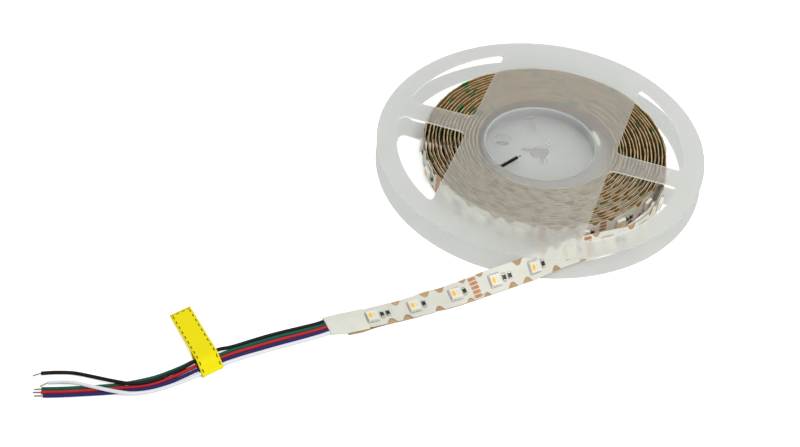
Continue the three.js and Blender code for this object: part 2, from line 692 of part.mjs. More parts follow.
function blackInnerLead(radius, height) {
  const bend = [
    [radius + 0.1, -6, height - 0.7],
    [radius - 2.2, -1.2, insideHeight],
    [radius - 5, 0.4, insideHeight],
  ];
  const through = bend.map(([reach, turn, z]) => {
    const angle = (portAzimuth + turn) * degree;
    return new THREE.Vector3(reach * Math.cos(angle), reach * Math.sin(angle), z);
  });
  return hubArc(innerLeadStart, portAzimuth - 12, height, radius, through.concat(blackInside.map(inCup)));
}

function addInnerTip() {
  const end = inCup(blackInside[blackInside.length - 1]);
  const tip = inCup(blackInsideTip);
  const start = end.clone().add(tip.clone().sub(end).setLength(wireGap));
  place('bare_end_inner', roundTube(new THREE.LineCurve3(start, tip), tipDiameter, 1), finishes.tinned);
}

// The sleeve over the joint of the inner lead and the strip's inner end
function innerSleeve() {
  const thickness = wireDiameter + 2 * innerSleeveMargin;
  const radius = hubRadius + innerLeadClearance + wireDiameter / 2 + innerSleeveOutset;
  const height = innerLeadOrder.length * innerLeadPitch + 2 * innerSleeveCover;
  const rings = [];
  const count = innerSleeveSteps;
  for (let i = 0; i <= count; i += 1) {
    const angle = (innerLeadStart - innerSleeveAngle * (1 - i / count)) * degree - wireGap / radius;
    const out = new THREE.Vector3(Math.cos(angle), Math.sin(angle), 0);
    const bottom = midHeight - height / 2;
    const at = (r, z) => out.clone().multiplyScalar(r).setZ(z);
    rings.push([
      at(radius - thickness / 2, bottom), at(radius + thickness / 2, bottom),
      at(radius + thickness / 2, bottom + height), at(radius - thickness / 2, bottom + height),
    ]);
  }
  return loft(rings);
}

const half = reelHalf();
const lower = place('lower_reel_half', half, finishes.clearPlastic);
lower.rotation.z = spokeAngle * degree;
const upper = place('upper_reel_half', half, finishes.clearPlastic);
upper.rotation.set(Math.PI, 0, spokeAngle * degree, 'ZYX');
upper.position.z = reelHeight;

place('led_strip', ledStrip(), finishes.circuit);
place('tail_liner', tailLiner(), finishes.liner);
addComponents();
place('end_sleeve', outerSleeve(), finishes.sleeve);
addWires();
place('wire_label', wireLabel(), finishes.label);
place('inner_sleeve', innerSleeve(), finishes.sleeve);
addInnerLead();
addInnerTip();

// The origin is the middle of the base of everything but the loose wires and what is on them
function isLoose(name) {
  return /^wire_|^bare_end_(?!inner)/.test(name);
}

reel.updateMatrixWorld(true);
const firm = new THREE.Box3();
for (const mesh of reel.children) {
  if (!isLoose(mesh.name)) firm.union(new THREE.Box3().setFromObject(mesh, true));
}
reel.position.set(-(firm.min.x + firm.max.x) / 2, -(firm.min.y + firm.max.y) / 2, -firm.min.z);

export default reel;
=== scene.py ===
"""Looks of the LED strip light reel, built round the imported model, in metres."""

import math
from bisect import bisect_left

import bmesh
import bpy
from mathutils import Matrix, Vector, noise


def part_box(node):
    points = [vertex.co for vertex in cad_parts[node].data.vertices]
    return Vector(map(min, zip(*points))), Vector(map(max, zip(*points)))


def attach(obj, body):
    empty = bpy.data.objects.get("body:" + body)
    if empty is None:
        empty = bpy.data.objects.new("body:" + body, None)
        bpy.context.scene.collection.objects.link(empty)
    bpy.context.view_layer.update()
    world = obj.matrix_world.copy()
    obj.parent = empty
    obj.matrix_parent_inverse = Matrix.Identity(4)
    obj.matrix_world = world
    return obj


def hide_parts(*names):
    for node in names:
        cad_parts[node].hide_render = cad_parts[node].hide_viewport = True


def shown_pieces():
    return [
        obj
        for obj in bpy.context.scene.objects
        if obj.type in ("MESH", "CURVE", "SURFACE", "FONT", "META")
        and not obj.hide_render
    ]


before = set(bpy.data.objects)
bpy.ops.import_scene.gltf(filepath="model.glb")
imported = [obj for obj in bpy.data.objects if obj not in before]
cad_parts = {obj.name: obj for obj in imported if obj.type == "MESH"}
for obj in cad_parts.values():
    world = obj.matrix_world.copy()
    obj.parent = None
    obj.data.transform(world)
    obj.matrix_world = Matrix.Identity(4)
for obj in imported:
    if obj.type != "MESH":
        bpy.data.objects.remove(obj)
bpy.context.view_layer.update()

MM = 0.001
ROOT = "root"

# Reel, in millimetres, with the reel's axis as the origin in plan
REEL_HEIGHT = 13.6
MID_HEIGHT = REEL_HEIGHT / 2
FLANGE_RADIUS = 84.0
FLANGE_THICKNESS = 0.7
HUB_RADIUS = 29.2
HUB_WALL = 1.3
HUB_FLOOR = 0.9
HUB_LIP = 1.0
CUP_FILLET = 0.8
HALVES_GAP = 0.1
WINDOW_RADIUS = 73.7
WINDOW_CHORD = 37.9
WINDOW_FILLET = 4.2
SPOKE_INNER = 13.6
SPOKE_OUTER = 12.8
SPOKE_ANGLE = -16.5
ARBOR_RADIUS = 5.0
ARBOR_NOTCH_REACH = 9.2
ARBOR_NOTCH_WIDTH = 3.2
ARBOR_NOTCH_ANGLES = (52.5, 172.5, 292.5)
SLOT_ANGLE, SLOT_WIDTH, SLOT_INNER, SLOT_OUTER = -117.5, 4.4, 14.2, 26.6
HOLE_ANGLE, HOLE_RADIUS, HOLE_REACH = -174.5, 4.6, 20.0
PORT_ANGLE, PORT_WIDTH, PORT_HEIGHT = 127.5, 7.4, 4.2
REVOLVE_STEPS = 180
# A reel half's materials in the order of its slots, and the numbers of all but the first
REEL_SURFACES = ("frosted", "frosted_wall", "frosted_edge", "frosted_lip")
WALL, EDGE, LIP = 1, 2, 3

# Light strip
STRIP_WIDTH = 12.0
STRIP_THICKNESS = 0.3
LINER_THICKNESS = 0.2
LINER_GAP = 0.05
TAPE_THICKNESS = 0.2
EDGE_INSET = 0.2
FACE_BAND = 1.35
FREE_INSET = 0.07
TURNS = 15
COIL_INNER_RADIUS = 35.0
COIL_OUTER_RADIUS = 62.6
COIL_INNER_OFFSET = (3.0, 1.0)
COIL_OUTER_OFFSET = (2.2, 0.3)
COIL_EDGE = 0.8
LED_PITCH = 20.83
LED_SIZE = 5.0
LED_HEIGHT = 1.5
BOWL_RADIUS, BOWL_DEPTH, BOWL_STEPS = 2.15, 0.3, 32
LED_SPOT_SCALE = (4.3, 2.3)
LED_DIES = ((0.75, 0.95), (0.75, -0.2), (0.7, -1.05), (1.3, 0.35), (1.25, -0.75))
LED_LEGS = (-1.8, -0.6, 0.6, 1.8)
SEAT_GAP = 0.25
# Printed fields: their pitch, how far they stand out, and the middle and range of length and depth
PRINT_PITCH, PRINT_PROUD = 43.0, 0.02
PRINT_LENGTH, PRINT_DEPTH, PRINT_OVER_EDGE = (4.4, 1.6), (1.9, 0.9), 0.25
LEDS_ON_FREE_END = 9
LEDS_ON_OUTER_TURNS = 21
DRESSED_LENGTH = 460
# A joint in the strip, one turn in: the next group starts over, so its parts sit a little nearer
JOINT_LAST_LED, JOINT_NEXT_LED = 23, 26
JOINT_OFFSET, JOINT_SHIFT = 0.75 * LED_PITCH, 1.5 * LED_PITCH
RESISTOR_LENGTH, RESISTOR_WIDTH, RESISTOR_HEIGHT = 3.2, 1.6, 0.55
RESISTOR_END = 0.55
RESISTOR_FIRST, RESISTOR_SECOND = 4.8, 7.7
MARK_WIDTH = 0.2
PADS_OFFSET, PAD_PITCH, PAD_LENGTH, PAD_WIDTH = 10.4, 2.2, 3.2, 1.7
STRIP_START = -13.5
SLEEVE_START, SLEEVE_LENGTH = -21.3, 18.1
SLEEVE_WALL, SLEEVE_CLEARANCE = 0.3, 0.15
SLEEVE_MOUTH = 10.2
SLEEVE_SHOULDER = 1.2
SLEEVE_REACH, SLEEVE_SLANT = 0.78, 0.115
FREE_SHORT = 0.6
# Slips of the loose liner: where, over what length and how far
LINER_SLIP, LINER_END_SLIP = (1.35 * LED_PITCH, 8.5, 0.55), (1.0, 9.0, 1.0)
FLOOR_CLEARANCE = 0.05
STATIONS_A_SPAN = 40
FREE_STEP, COIL_STEP, PARTS_STEP, LINER_STEP = 0.45, 0.9, 0.5, 1.5
# Unevenness of the winding: length and size of a wave, and where in the noise it is taken
WAVES = ((17.0, 0.5, (3.1, 0.4)), (6.5, 0.2, (7.7, 1.9)))
LIFT_WAVE = (40.0, 0.1, (9.7, 2.0))
WAVES_EASE_IN = 30.0

# Wires
WIRE_DIAMETER = 1.7
TIP_DIAMETER = 0.8
TIP_STRANDS, TIP_RINGS, TIP_SIDES, TIP_TWIST = 7, 9, 8, 1.6
LINE_STEP = 1.5
INNER_LEAD_START = 26.0
INNER_LEAD_PITCH = 1.95
INNER_LEAD_ENDS = {"white": 186, "blue": 192, "red": 198, "green": 204}
INNER_LEAD_CLEARANCE = 0.35
HUB_ARC_STEP = 6

# Label
LABEL_WIDTH = 10.8
LABEL_LENGTH = 41.5
LABEL_FILM = 0.1
LABEL_COLUMNS = 8
LABEL_FOLD = (-147.4, -157.5)
LABEL_RUN = (-0.488, 0.873)
LABEL_ACROSS = (0.78, 0.625)
# Lines of the label as shares of its width and length, from the middle out, and the dashes in each
LABEL_LINE, LABEL_DASHES = (0.375, 0.42), 23.0
LABEL_TIP_LINE, LABEL_TIP_DASHES = (0.483, 0.488), 3.6
# The folded sheet from its edge: distance from the fold and height, from the lower layer to the upper
LABEL_PROFILE = (
    (LABEL_LENGTH, 0.15), (36, 0.8), (30, 1.52), (24, 2.24), (19, 2.84), (16.8, 3.08), (15.2, 2.9),
    (13.9, 2.0), (12.7, 0.9), (11.6, 0.3), (10.2, 0.15), (6, 0.15), (1.0, 0.15), (0.3, 0.4), (0.0, 1.0),
    (0.05, 1.7), (0.6, 2.3), (1.8, 2.65), (3.8, 3.2), (6.1, 4.3), (8, 4.5), (10.4, 4.3), (13, 3.85),
    (16.5, 3.34), (19, 3.04), (24, 2.44), (30, 1.72), (36, 1.0), (LABEL_LENGTH, 0.35),
)

WIRE_ROUTES = {
    "black": (
        (-101.0, -122.7, 1.3), (-104.6, -124.5, 1.1), (-111.2, -127.3, 1.0), (-118.0, -130.2, 1.0),
        (-124.8, -133.3, 1.0), (-131.5, -136.7, 1.0), (-138.0, -140.3, 1.1), (-142.5, -142.9, 1.6),
        (-146.7, -145.4, 2.6), (-150.3, -149.1, 3.1), (-155.9, -153.4, 3.0), (-161.0, -157.8, 2.5),
        (-166.2, -161.8, 2.7), (-171.9, -165.6, 2.7), (-177.4, -167.9, 2.8), (-183.0, -168.8, 2.8),
        (-188.5, -168.2, 2.8), (-194.0, -166.5, 1.8), (-201.0, -164.6, 1.0), (-208.4, -163.5, 1.0),
        (-215.6, -163.8, 1.0), (-222.6, -164.9, 1.0),
    ),
    "green": (
        (-100.2, -124.3, 1.3), (-103.8, -126.2, 1.1), (-110.4, -129.1, 1.0), (-117.1, -132.0, 1.0),
        (-123.9, -135.2, 1.0), (-130.5, -138.5, 1.0), (-137.0, -142.1, 1.2), (-141.6, -144.5, 1.3),
        (-145.6, -147.2, 1.3), (-151.0, -149.7, 1.3), (-156.4, -152.0, 1.3), (-161.6, -155.7, 1.0),
        (-167.0, -159.4, 1.0), (-172.5, -162.7, 1.0), (-177.9, -165.0, 1.0), (-182.8, -166.8, 1.0),
        (-189.2, -168.8, 1.0), (-195.0, -170.0, 1.0), (-201.0, -171.1, 1.0), (-207.0, -172.1, 1.0),
        (-213.6, -173.0, 1.0), (-220.5, -173.8, 1.0),
    ),
    "red": (
        (-99.3, -126.0, 1.3), (-103.0, -127.9, 1.1), (-109.6, -130.9, 1.0), (-116.3, -133.9, 1.0),
        (-123.0, -137.0, 1.0), (-129.6, -140.3, 1.0), (-136.1, -143.8, 1.2), (-140.5, -146.3, 1.3),
        (-144.6, -148.8, 1.3), (-149.6, -151.8, 1.3), (-155.4, -154.9, 1.3), (-160.8, -158.8, 1.0),
        (-166.1, -162.8, 1.0), (-171.9, -166.3, 1.0), (-177.9, -168.5, 1.0), (-185.4, -169.9, 1.0),
        (-191.5, -171.3, 1.0), (-198.0, -172.5, 1.0), (-204.3, -173.6, 1.0), (-211.0, -174.7, 1.0),
        (-220.3, -175.7, 1.0),
    ),
    "blue": (
        (-98.4, -127.7, 1.3), (-102.2, -129.6, 1.1), (-108.8, -132.7, 1.0), (-115.5, -135.8, 1.0),
        (-122.1, -138.8, 1.0), (-128.7, -142.1, 1.0), (-135.1, -145.6, 1.1), (-139.5, -148.0, 1.3),
        (-143.6, -150.5, 1.3), (-148.6, -153.6, 1.3), (-154.6, -157.2, 1.3), (-160.0, -161.0, 1.0),
        (-165.4, -164.8, 1.0), (-171.3, -168.1, 1.0), (-177.1, -170.3, 1.0), (-183.4, -171.7, 1.0),
        (-190.0, -173.2, 1.0), (-197.3, -174.5, 1.0), (-206.0, -175.9, 1.0), (-212.9, -176.9, 1.0),
        (-219.1, -177.6, 1.0),
    ),
    "white": (
        (-97.6, -129.3, 1.3), (-101.4, -131.3, 1.1), (-108.0, -134.5, 1.0), (-114.6, -137.6, 1.0),
        (-121.2, -140.7, 1.0), (-127.7, -143.9, 1.0), (-134.2, -147.3, 1.2), (-138.5, -149.7, 1.3),
        (-142.5, -152.1, 1.4), (-147.6, -155.6, 1.35), (-152.1, -158.9, 1.3), (-155.8, -161.4, 1.3),
        (-159.9, -164.0, 1.0), (-165.3, -167.2, 1.0), (-171.2, -170.2, 1.0), (-176.6, -172.2, 1.2),
        (-181.6, -173.6, 1.9), (-187.3, -173.8, 2.7), (-192.8, -173.1, 2.9), (-199.6, -171.8, 2.9),
        (-206.7, -170.3, 2.6), (-213.0, -169.4, 1.2), (-218.4, -169.9, 1.0),
    ),
}
TIP_ENDS = {
    "black": (-226.1, -166.6, 0.9),
    "green": (-223.8, -174.3, 0.9),
    "red": (-224.0, -176.0, 0.9),
    "blue": (-223.0, -177.9, 0.9),
    "white": (-221.6, -172.4, 0.9),
}

# The free end: plan position, height of the lower edge, lean from flat to upright
FREE_END = (
    (-98.0, -125.0, 1.0, 0), (-88.4, -121.5, 1.0, 0), (-78.7, -117.7, 0.95, 1), (-59.8, -109.5, 0.55, 6),
    (-41.1, -100.8, 0.55, 15), (-22.8, -91.4, 0.6, 31), (-4.5, -82.4, 1.1, 46), (12.8, -71.3, 1.2, 50),
    (31.7, -62.6, 1.0, 59), (43.1, -57.5, 0.85, 72), (51.6, -48.5, 0.8, 84), (57.6, -36.6, 0.8, 90),
    (62.4, -22.5, 0.8, 90),
)
FIRST_LED_STATION = 2

# Light: place, width and power of each lamp, and the floor and backdrop as tones
LAMPS = {"key": ((0.4, -0.62, 1.2), 0.8, 9.1), "back": ((0.5, 1.1, 1.0), 0.8, 1.2)}
WORLD_LIGHT, WORLD_SEEN = 0.6, 1.1
FLOOR_HALF, FLOOR_GLOW = 6, 0.45
# Painted shade on the floor: its grey where seen through the plastic or in reflections, and its painted
# shadow under the hub
FLOOR_PAINTED_SHADE_BEHIND, FLOOR_HUB_PAINTED_SHADOW = 0.67, 0.5
HUB_SHADE_REACH = 38.0
# What a piece lit through one layer of the plastic still gets
FROSTED_CARRIES = (0.97, 0.975, 0.97)
# Frosted plastic: name, tint, share let through, share scattered, grain and glow
FROSTED = {
    "frosted": ("frosted_plastic", (0.95, 0.96, 0.94), 0.87, 0.16, 0.42, 0.0),
    "frosted_wall": ("frosted_wall", (0.83, 0.88, 0.90), 0.5, 0.2, 0.55, 0.0),
    "frosted_lip": ("frosted_lip", (0.90, 0.93, 0.92), 0.5, 0.2, 0.5, 0.0),
    "frosted_edge": ("frosted_edge", (0.92, 0.93, 0.90), 0.1, 0.2, 0.4, 0.2),
}
# Other surfaces: name, colour, roughness, how much they vary, cells a metre, and further settings
WIRE_SHEEN = {"specular": 0.2}
SURFACES = {
    "circuit": ("circuit_white", (0.70, 0.695, 0.61), 0.42, 0.03, 200.0, {}),
    "circuit_edge": ("circuit_edge", (0.22, 0.16, 0.09), 0.6, 0.15, 300.0, {}),
    # The next colour is painted shade: the strip's white face darkened in the deep gaps between wound turns.
    "circuit_painted_shade": ("circuit_painted_shade", (0.055, 0.032, 0.014), 0.8, 0.15, 120.0, {"specular": 0.1}),
    "circuit_back": ("circuit_back", (0.30, 0.20, 0.09), 0.5, 0.15, 200.0, {}),
    "liner": ("liner_paper", (0.50, 0.33, 0.17), 0.75, 0.12, 160.0, {}),
    "liner_edge": ("liner_edge", (0.56, 0.405, 0.205), 0.8, 0.3, 300.0, {}),
    # The next colour is painted shade: the liner's paper darkened where it lies deep between the turns.
    "liner_painted_shade": ("liner_painted_shade", (0.28, 0.165, 0.055), 0.75, 0.15, 160.0, {}),
    "print": ("liner_print", (0.008, 0.15, 0.045), 0.6, 0.2, 300.0, {}),
    "outline": ("printed_outline", (0.07, 0.07, 0.055), 0.5, 0.1, 300.0, {}),
    "led": ("led_housing", (0.82, 0.81, 0.74), 0.35, 0.03, 300.0, {}),
    "clear": ("led_clear", (0.76, 0.78, 0.70), 0.15, 0.05, 500.0, {}),
    "die": ("led_die", (0.25, 0.24, 0.18), 0.3, 0.05, 500.0, {}),
    "resistor": ("resistor_black", (0.018, 0.018, 0.014), 0.35, 0.1, 300.0, {}),
    "solder": ("solder", (0.80, 0.78, 0.70), 0.35, 0.08, 300.0, {"metallic": 0.4}),
    "copper": ("copper_pad", (0.50, 0.235, 0.11), 0.4, 0.12, 300.0, {"metallic": 0.3}),
    "copper_dark": ("copper_dark", (0.28, 0.10, 0.05), 0.5, 0.1, 300.0, {}),
    "sleeve": ("sleeve_shrink", (0.72, 0.735, 0.645), 0.5, 0.03, 150.0, {}),
    "black": ("wire_black", (0.009, 0.008, 0.007), 0.5, 0.1, 150.0, WIRE_SHEEN),
    "green": ("wire_green", (0.001, 0.105, 0.065), 0.5, 0.06, 150.0, WIRE_SHEEN),
    "red": ("wire_red", (0.50, 0.022, 0.028), 0.5, 0.06, 150.0, WIRE_SHEEN),
    "blue": ("wire_blue", (0.02, 0.018, 0.125), 0.5, 0.06, 150.0, WIRE_SHEEN),
    "white": ("wire_white", (0.76, 0.79, 0.82), 0.4, 0.03, 150.0, {}),
    "tinned": ("tinned_strand", (0.42, 0.38, 0.31), 0.35, 0.1, 600.0, {"metallic": 0.95}),
}

corner_low, corner_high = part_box("lower_reel_half")
AXIS = Vector(((corner_low[0] + corner_high[0]) / 2, (corner_low[1] + corner_high[1]) / 2, 0.0))


def at(x, y, z=0.0):
    """A point given in millimetres from the reel's axis, as a point of the shared frame."""
    return AXIS + Vector((x, y, z)) * MM


# Camera: the photograph's viewpoint
PHOTO_WIDTH = 800
FOCAL_PIXELS = 1575.0
CAMERA_PLACE = (-68.9, -615.2, 537.3)
CAMERA_ELEVATION = 43.68
CAMERA_ROLL = 3.92


def add_camera():
    data = bpy.data.cameras.new("photo_camera")
    data.sensor_width = 36.0
    data.lens = FOCAL_PIXELS / PHOTO_WIDTH * data.sensor_width
    data.clip_start = 0.01
    data.clip_end = 10.0
    camera = link("photo_camera", data)
    elevation = math.radians(CAMERA_ELEVATION)
    roll = math.radians(CAMERA_ROLL)
    forward = Vector((0, math.cos(elevation), -math.sin(elevation)))
    level = Vector((1, 0, 0))
    raised = level.cross(forward)
    right = level * math.cos(roll) + raised * math.sin(roll)
    up = raised * math.cos(roll) - level * math.sin(roll)
    turn = Matrix((right, up, -forward)).transposed().to_4x4()
    camera.matrix_world = Matrix.Translation(at(*CAMERA_PLACE)) @ turn
    bpy.context.scene.camera = camera


# Curves through points

def polar(radius, angle):
    return radius * math.cos(angle), radius * math.sin(angle)


def catmull_rom(points, t, centripetal):
    """A point on the smooth curve through the points, for t from 0 to 1."""
    last = len(points) - 1
    place = t * last
    k = min(int(place), last - 1)
    w = place - k
    p1, p2 = points[k], points[k + 1]
    p0 = points[k - 1] if k > 0 else p1 * 2 - p2
    p3 = points[k + 2] if k + 2 <= last else p2 * 2 - p1
    if centripetal:
        d0 = max((p1 - p0).length ** 0.5, 1e-4)
        d1 = max((p2 - p1).length ** 0.5, 1e-4)
        d2 = max((p3 - p2).length ** 0.5, 1e-4)
        m1 = ((p1 - p0) / d0 - (p2 - p0) / (d0 + d1) + (p2 - p1) / d1) * d1
        m2 = ((p2 - p1) / d1 - (p3 - p1) / (d1 + d2) + (p3 - p2) / d2) * d1
    else:
        m1 = (p2 - p0) * 0.5
        m2 = (p3 - p1) * 0.5
    a = p1 * 2 - p2 * 2 + m1 + m2
    b = p2 * 3 - p1 * 3 - m1 * 2 - m2
    return a * w ** 3 + b * w ** 2 + m1 * w + p1


def running_length(points):
    """How far along the line each of its points lies."""
    reached = [0.0]
    for a, b in zip(points, points[1:]):
        reached.append(reached[-1] + (b - a).length)
    return reached


def smooth_line(points, step):
    """Points every step or so along the smooth curve through the given ones."""
    vectors = [Vector(p) for p in points]
    count = max(2, round(running_length(vectors)[-1] / step))
    return [catmull_rom(vectors, i / count, False) for i in range(count + 1)]


# Meshes

def link(name, data):
    piece = bpy.data.objects.new(name, data)
    bpy.context.scene.collection.objects.link(piece)
    return piece


def add_piece(name, data, slot, *looks, node=None):
    """A visible piece with its materials, by their keys; it may stand for a node of the CAD."""
    piece = link(name, data)
    for look in looks:
        data.materials.append(MATERIALS[look])
    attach(piece, ROOT)
    if node:
        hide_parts(node)
    return piece


def shade(mesh, smooth_angle):
    if smooth_angle is not None:
        mesh.polygons.foreach_set("use_smooth", [True] * len(mesh.polygons))
        mesh.set_sharp_from_angle(angle=math.radians(smooth_angle))


def fill_mesh(mesh, work, smooth_angle=None):
    """Writes the work into the mesh, with its faces turned outwards."""
    bmesh.ops.recalc_face_normals(work, faces=work.faces)
    work.to_mesh(mesh)
    work.free()
    shade(mesh, smooth_angle)
    return mesh


def mesh_from(name, points, faces, smooth_angle=None):
    mesh = bpy.data.meshes.new(name)
    mesh.from_pydata(points, [], faces)
    mesh.update()
    shade(mesh, smooth_angle)
    return mesh


def solid_from(name, points, faces, smooth_angle=None):
    mesh = mesh_from(name, points, faces)
    work = bmesh.new()
    work.from_mesh(mesh)
    return fill_mesh(mesh, work, smooth_angle)


def loft(name, rings, smooth_angle):
    """A skin through rings of points, capped at both ends."""
    count = len(rings[0])
    points = [p for ring in rings for p in ring]
    faces = []
    for i in range(len(rings) - 1):
        for j in range(count):
            a = i * count + j
            b = i * count + (j + 1) % count
            faces.append((a, b, b + count, a + count))
    faces.append(tuple(range(count - 1, -1, -1)))
    faces.append(tuple(range((len(rings) - 1) * count, len(rings) * count)))
    return solid_from(name, points, faces, smooth_angle)


def revolve(name, profile, steps):
    """A closed solid from a profile of (radius, height) that starts and ends on the axis."""
    rings = []
    points = []
    for radius, height in profile:
        if radius == 0:
            rings.append([len(points)] * steps)
            points.append(Vector((0, 0, height)) * MM)
            continue
        rings.append(range(len(points), len(points) + steps))
        for i in range(steps):
            points.append(Vector((*polar(radius, i * 2 * math.pi / steps), height)) * MM)
    faces = []
    for low, high in zip(rings, rings[1:]):
        for i in range(steps):
            j = (i + 1) % steps
            corners = list(dict.fromkeys((low[i], low[j], high[j], high[i])))
            if len(corners) > 2:
                faces.append(corners)
    return solid_from(name, points, faces)


def prism(outline, low, high, turn=0.0):
    """A straight solid over an outline of (x, y), turned by degrees round the axis."""
    spin = Matrix.Rotation(math.radians(turn), 4, "Z")
    count = len(outline)
    points = [spin @ Vector((x, y, z)) * MM for z in (low, high) for x, y in outline]
    faces = [tuple(range(count)), tuple(range(count, 2 * count))]
    for i in range(count):
        j = (i + 1) % count
        faces.append((i, j, j + count, i + count))
    return solid_from("cutter", points, faces)


def cut_away(mesh, cutters):
    """The mesh with every cutter taken out of it."""
    body = link("cut_body", mesh)
    tools = [link("cut_tool", cutter) for cutter in cutters]
    for tool in tools:
        modifier = body.modifiers.new("cut", "BOOLEAN")
        modifier.operation = "DIFFERENCE"
        modifier.solver = "EXACT"
        modifier.object = tool
    view = bpy.context.evaluated_depsgraph_get()
    result = bpy.data.meshes.new_from_object(body.evaluated_get(view))
    for extra in tools + [body]:
        bpy.data.objects.remove(extra)
    return result


def arc(radius, start, end, count, centre=(0.0, 0.0)):
    """Points on an arc, with its angles in radians."""
    turns = [polar(radius, start + (end - start) * i / count) for i in range(count + 1)]
    return [(centre[0] + x, centre[1] + y) for x, y in turns]


def corner(before, tip, after, count=6):
    """A rounded corner between two points, as a curve drawn towards the tip."""
    points = []
    for i in range(count + 1):
        t = i / count
        a, b, c = (1 - t) ** 2, 2 * t * (1 - t), t * t
        points.append(tuple(a * p + b * q + c * r for p, q, r in zip(before, tip, after)))
    return points


# Materials

def feed(material, socket, value):
    """An input takes another node's output or a plain value."""
    if isinstance(value, bpy.types.NodeSocket):
        material.node_tree.links.new(value, socket)
    else:
        socket.default_value = value


def add_node(material, kind, inputs=None, **settings):
    node = material.node_tree.nodes.new(kind)
    for name, value in settings.items():
        setattr(node, name, value)
    for name, value in (inputs or {}).items():
        feed(material, node.inputs[name], value)
    return node


def calculate(material, operation, first, second=0.0):
    node = add_node(material, "ShaderNodeMath", {0: first, 1: second}, operation=operation)
    return node.outputs["Value"]


def mix_shaders(material, share, first, second):
    return add_node(material, "ShaderNodeMixShader", {"Fac": share, 1: first, 2: second}).outputs["Shader"]


def show(material, surface):
    feed(material, material.node_tree.nodes["Material Output"].inputs["Surface"], surface)


def principled(name, colour, roughness, metallic=0.0, transmission=0.0, ior=1.46, specular=0.5):
    material = bpy.data.materials.new(name)
    material.use_nodes = True
    shader = material.node_tree.nodes["Principled BSDF"]
    values = {
        "Base Color": (*colour, 1.0), "Roughness": roughness, "Metallic": metallic,
        "Transmission Weight": transmission, "IOR": ior, "Specular IOR Level": specular,
    }
    for socket, value in values.items():
        shader.inputs[socket].default_value = value
    return material, shader


def noise_field(material, scale, detail=3.0):
    """A noise over the object's own coordinates; the scale is in cells per metre."""
    place = add_node(material, "ShaderNodeTexCoord").outputs["Object"]
    field = add_node(material, "ShaderNodeTexNoise", {"Vector": place, "Scale": scale, "Detail": detail})
    return field.outputs["Fac"]


def tint_by(material, shader, field, dark, light, low=0.35, high=0.65):
    """The base colour runs from dark to light with the field."""
    ramp = add_node(material, "ShaderNodeValToRGB", {"Fac": field})
    for element, place, colour in zip(ramp.color_ramp.elements, (low, high), (dark, light)):
        element.position = place
        element.color = (*colour, 1.0)
    feed(material, shader.inputs["Base Color"], ramp.outputs["Color"])
    return ramp


def bump_by(material, shader, field, strength, distance):
    bump = add_node(material, "ShaderNodeBump", {"Height": field, "Strength": strength, "Distance": distance})
    feed(material, shader.inputs["Normal"], bump.outputs["Normal"])


def scaled(colour, factor):
    return tuple(min(1.0, c * factor) for c in colour)


def varied(name, colour, roughness, spread, cells, more):
    """A material whose colour, gloss and surface vary a little over the piece."""
    material, shader = principled(name, colour, roughness, **more)
    field = noise_field(material, cells)
    tint_by(material, shader, field, scaled(colour, 1 - spread), scaled(colour, 1 + spread))
    rough = add_node(material, "ShaderNodeMapRange", {
        "Value": field, "To Min": roughness * 0.9, "To Max": min(1.0, roughness * 1.15),
    })
    feed(material, shader.inputs["Roughness"], rough.outputs["Result"])
    bump_by(material, shader, noise_field(material, cells * 6), 0.05, 0.0001)
    return material


def frosted_plastic(name, colour, clear, scatter, grain, glow):
    """Natural unfilled plastic: milky, with a fine matt grain.

    Each face lets light through with a little spread, so that what touches the plastic shows and
    what lies further behind it blurs away. A share is scattered on to the other side, and the
    light that falls on other pieces passes through with a small loss. The glow stands for light
    that the sheet carries inside it to its cut edges.
    """
    material, shader = principled(name, colour, grain, transmission=clear, ior=1.3)
    shader.inputs["Emission Color"].default_value = (0.97, 1.0, 0.97, 1.0)
    shader.inputs["Emission Strength"].default_value = glow
    cloud = noise_field(material, 45.0, detail=4.0)
    tint_by(material, shader, cloud, scaled(colour, 0.985), scaled(colour, 1.015))
    bump_by(material, shader, noise_field(material, 260.0, detail=2.0), 0.03, 0.0001)
    through = add_node(material, "ShaderNodeBsdfTranslucent", {"Color": (0.93, 0.95, 0.92, 1.0)})
    milky = mix_shaders(material, scatter, shader.outputs["BSDF"], through.outputs["BSDF"])
    carried = add_node(material, "ShaderNodeBsdfTransparent", {"Color": (*FROSTED_CARRIES, 1.0)})
    path = add_node(material, "ShaderNodeLightPath").outputs
    lighting = calculate(material, "MAXIMUM", path["Is Shadow Ray"], path["Is Diffuse Ray"])
    show(material, mix_shaders(material, lighting, milky, carried.outputs["BSDF"]))
    return material


def make_materials():
    materials = {key: frosted_plastic(*look) for key, look in FROSTED.items()}
    materials.update({key: varied(*look) for key, look in SURFACES.items()})
    materials["phosphor"] = led_bowl()
    materials["label"] = label_sheet()
    return materials


def led_bowl():
    """Cream filling with a yellow-orange spot over the white chip, placed by the package's own length."""
    material, shader = principled("led_bowl", (0.78, 0.76, 0.62), 0.2)
    place = add_node(material, "ShaderNodeUVMap", uv_map="sheet").outputs["UV"]
    long, wide = LED_SPOT_SCALE
    spot = add_node(material, "ShaderNodeMapping", {
        "Vector": place, "Location": (-0.30 * long, -0.5 * wide, 0), "Scale": (long, wide, 1),
    }).outputs["Vector"]
    fade = add_node(material, "ShaderNodeTexGradient", {"Vector": spot}, gradient_type="SPHERICAL")
    ramp = tint_by(material, shader, fade.outputs["Fac"], (0.84, 0.82, 0.70), (0.95, 0.52, 0.04), 0.0, 0.6)
    middle = ramp.color_ramp.elements.new(0.3)
    middle.color = (0.92, 0.66, 0.20, 1.0)
    return material


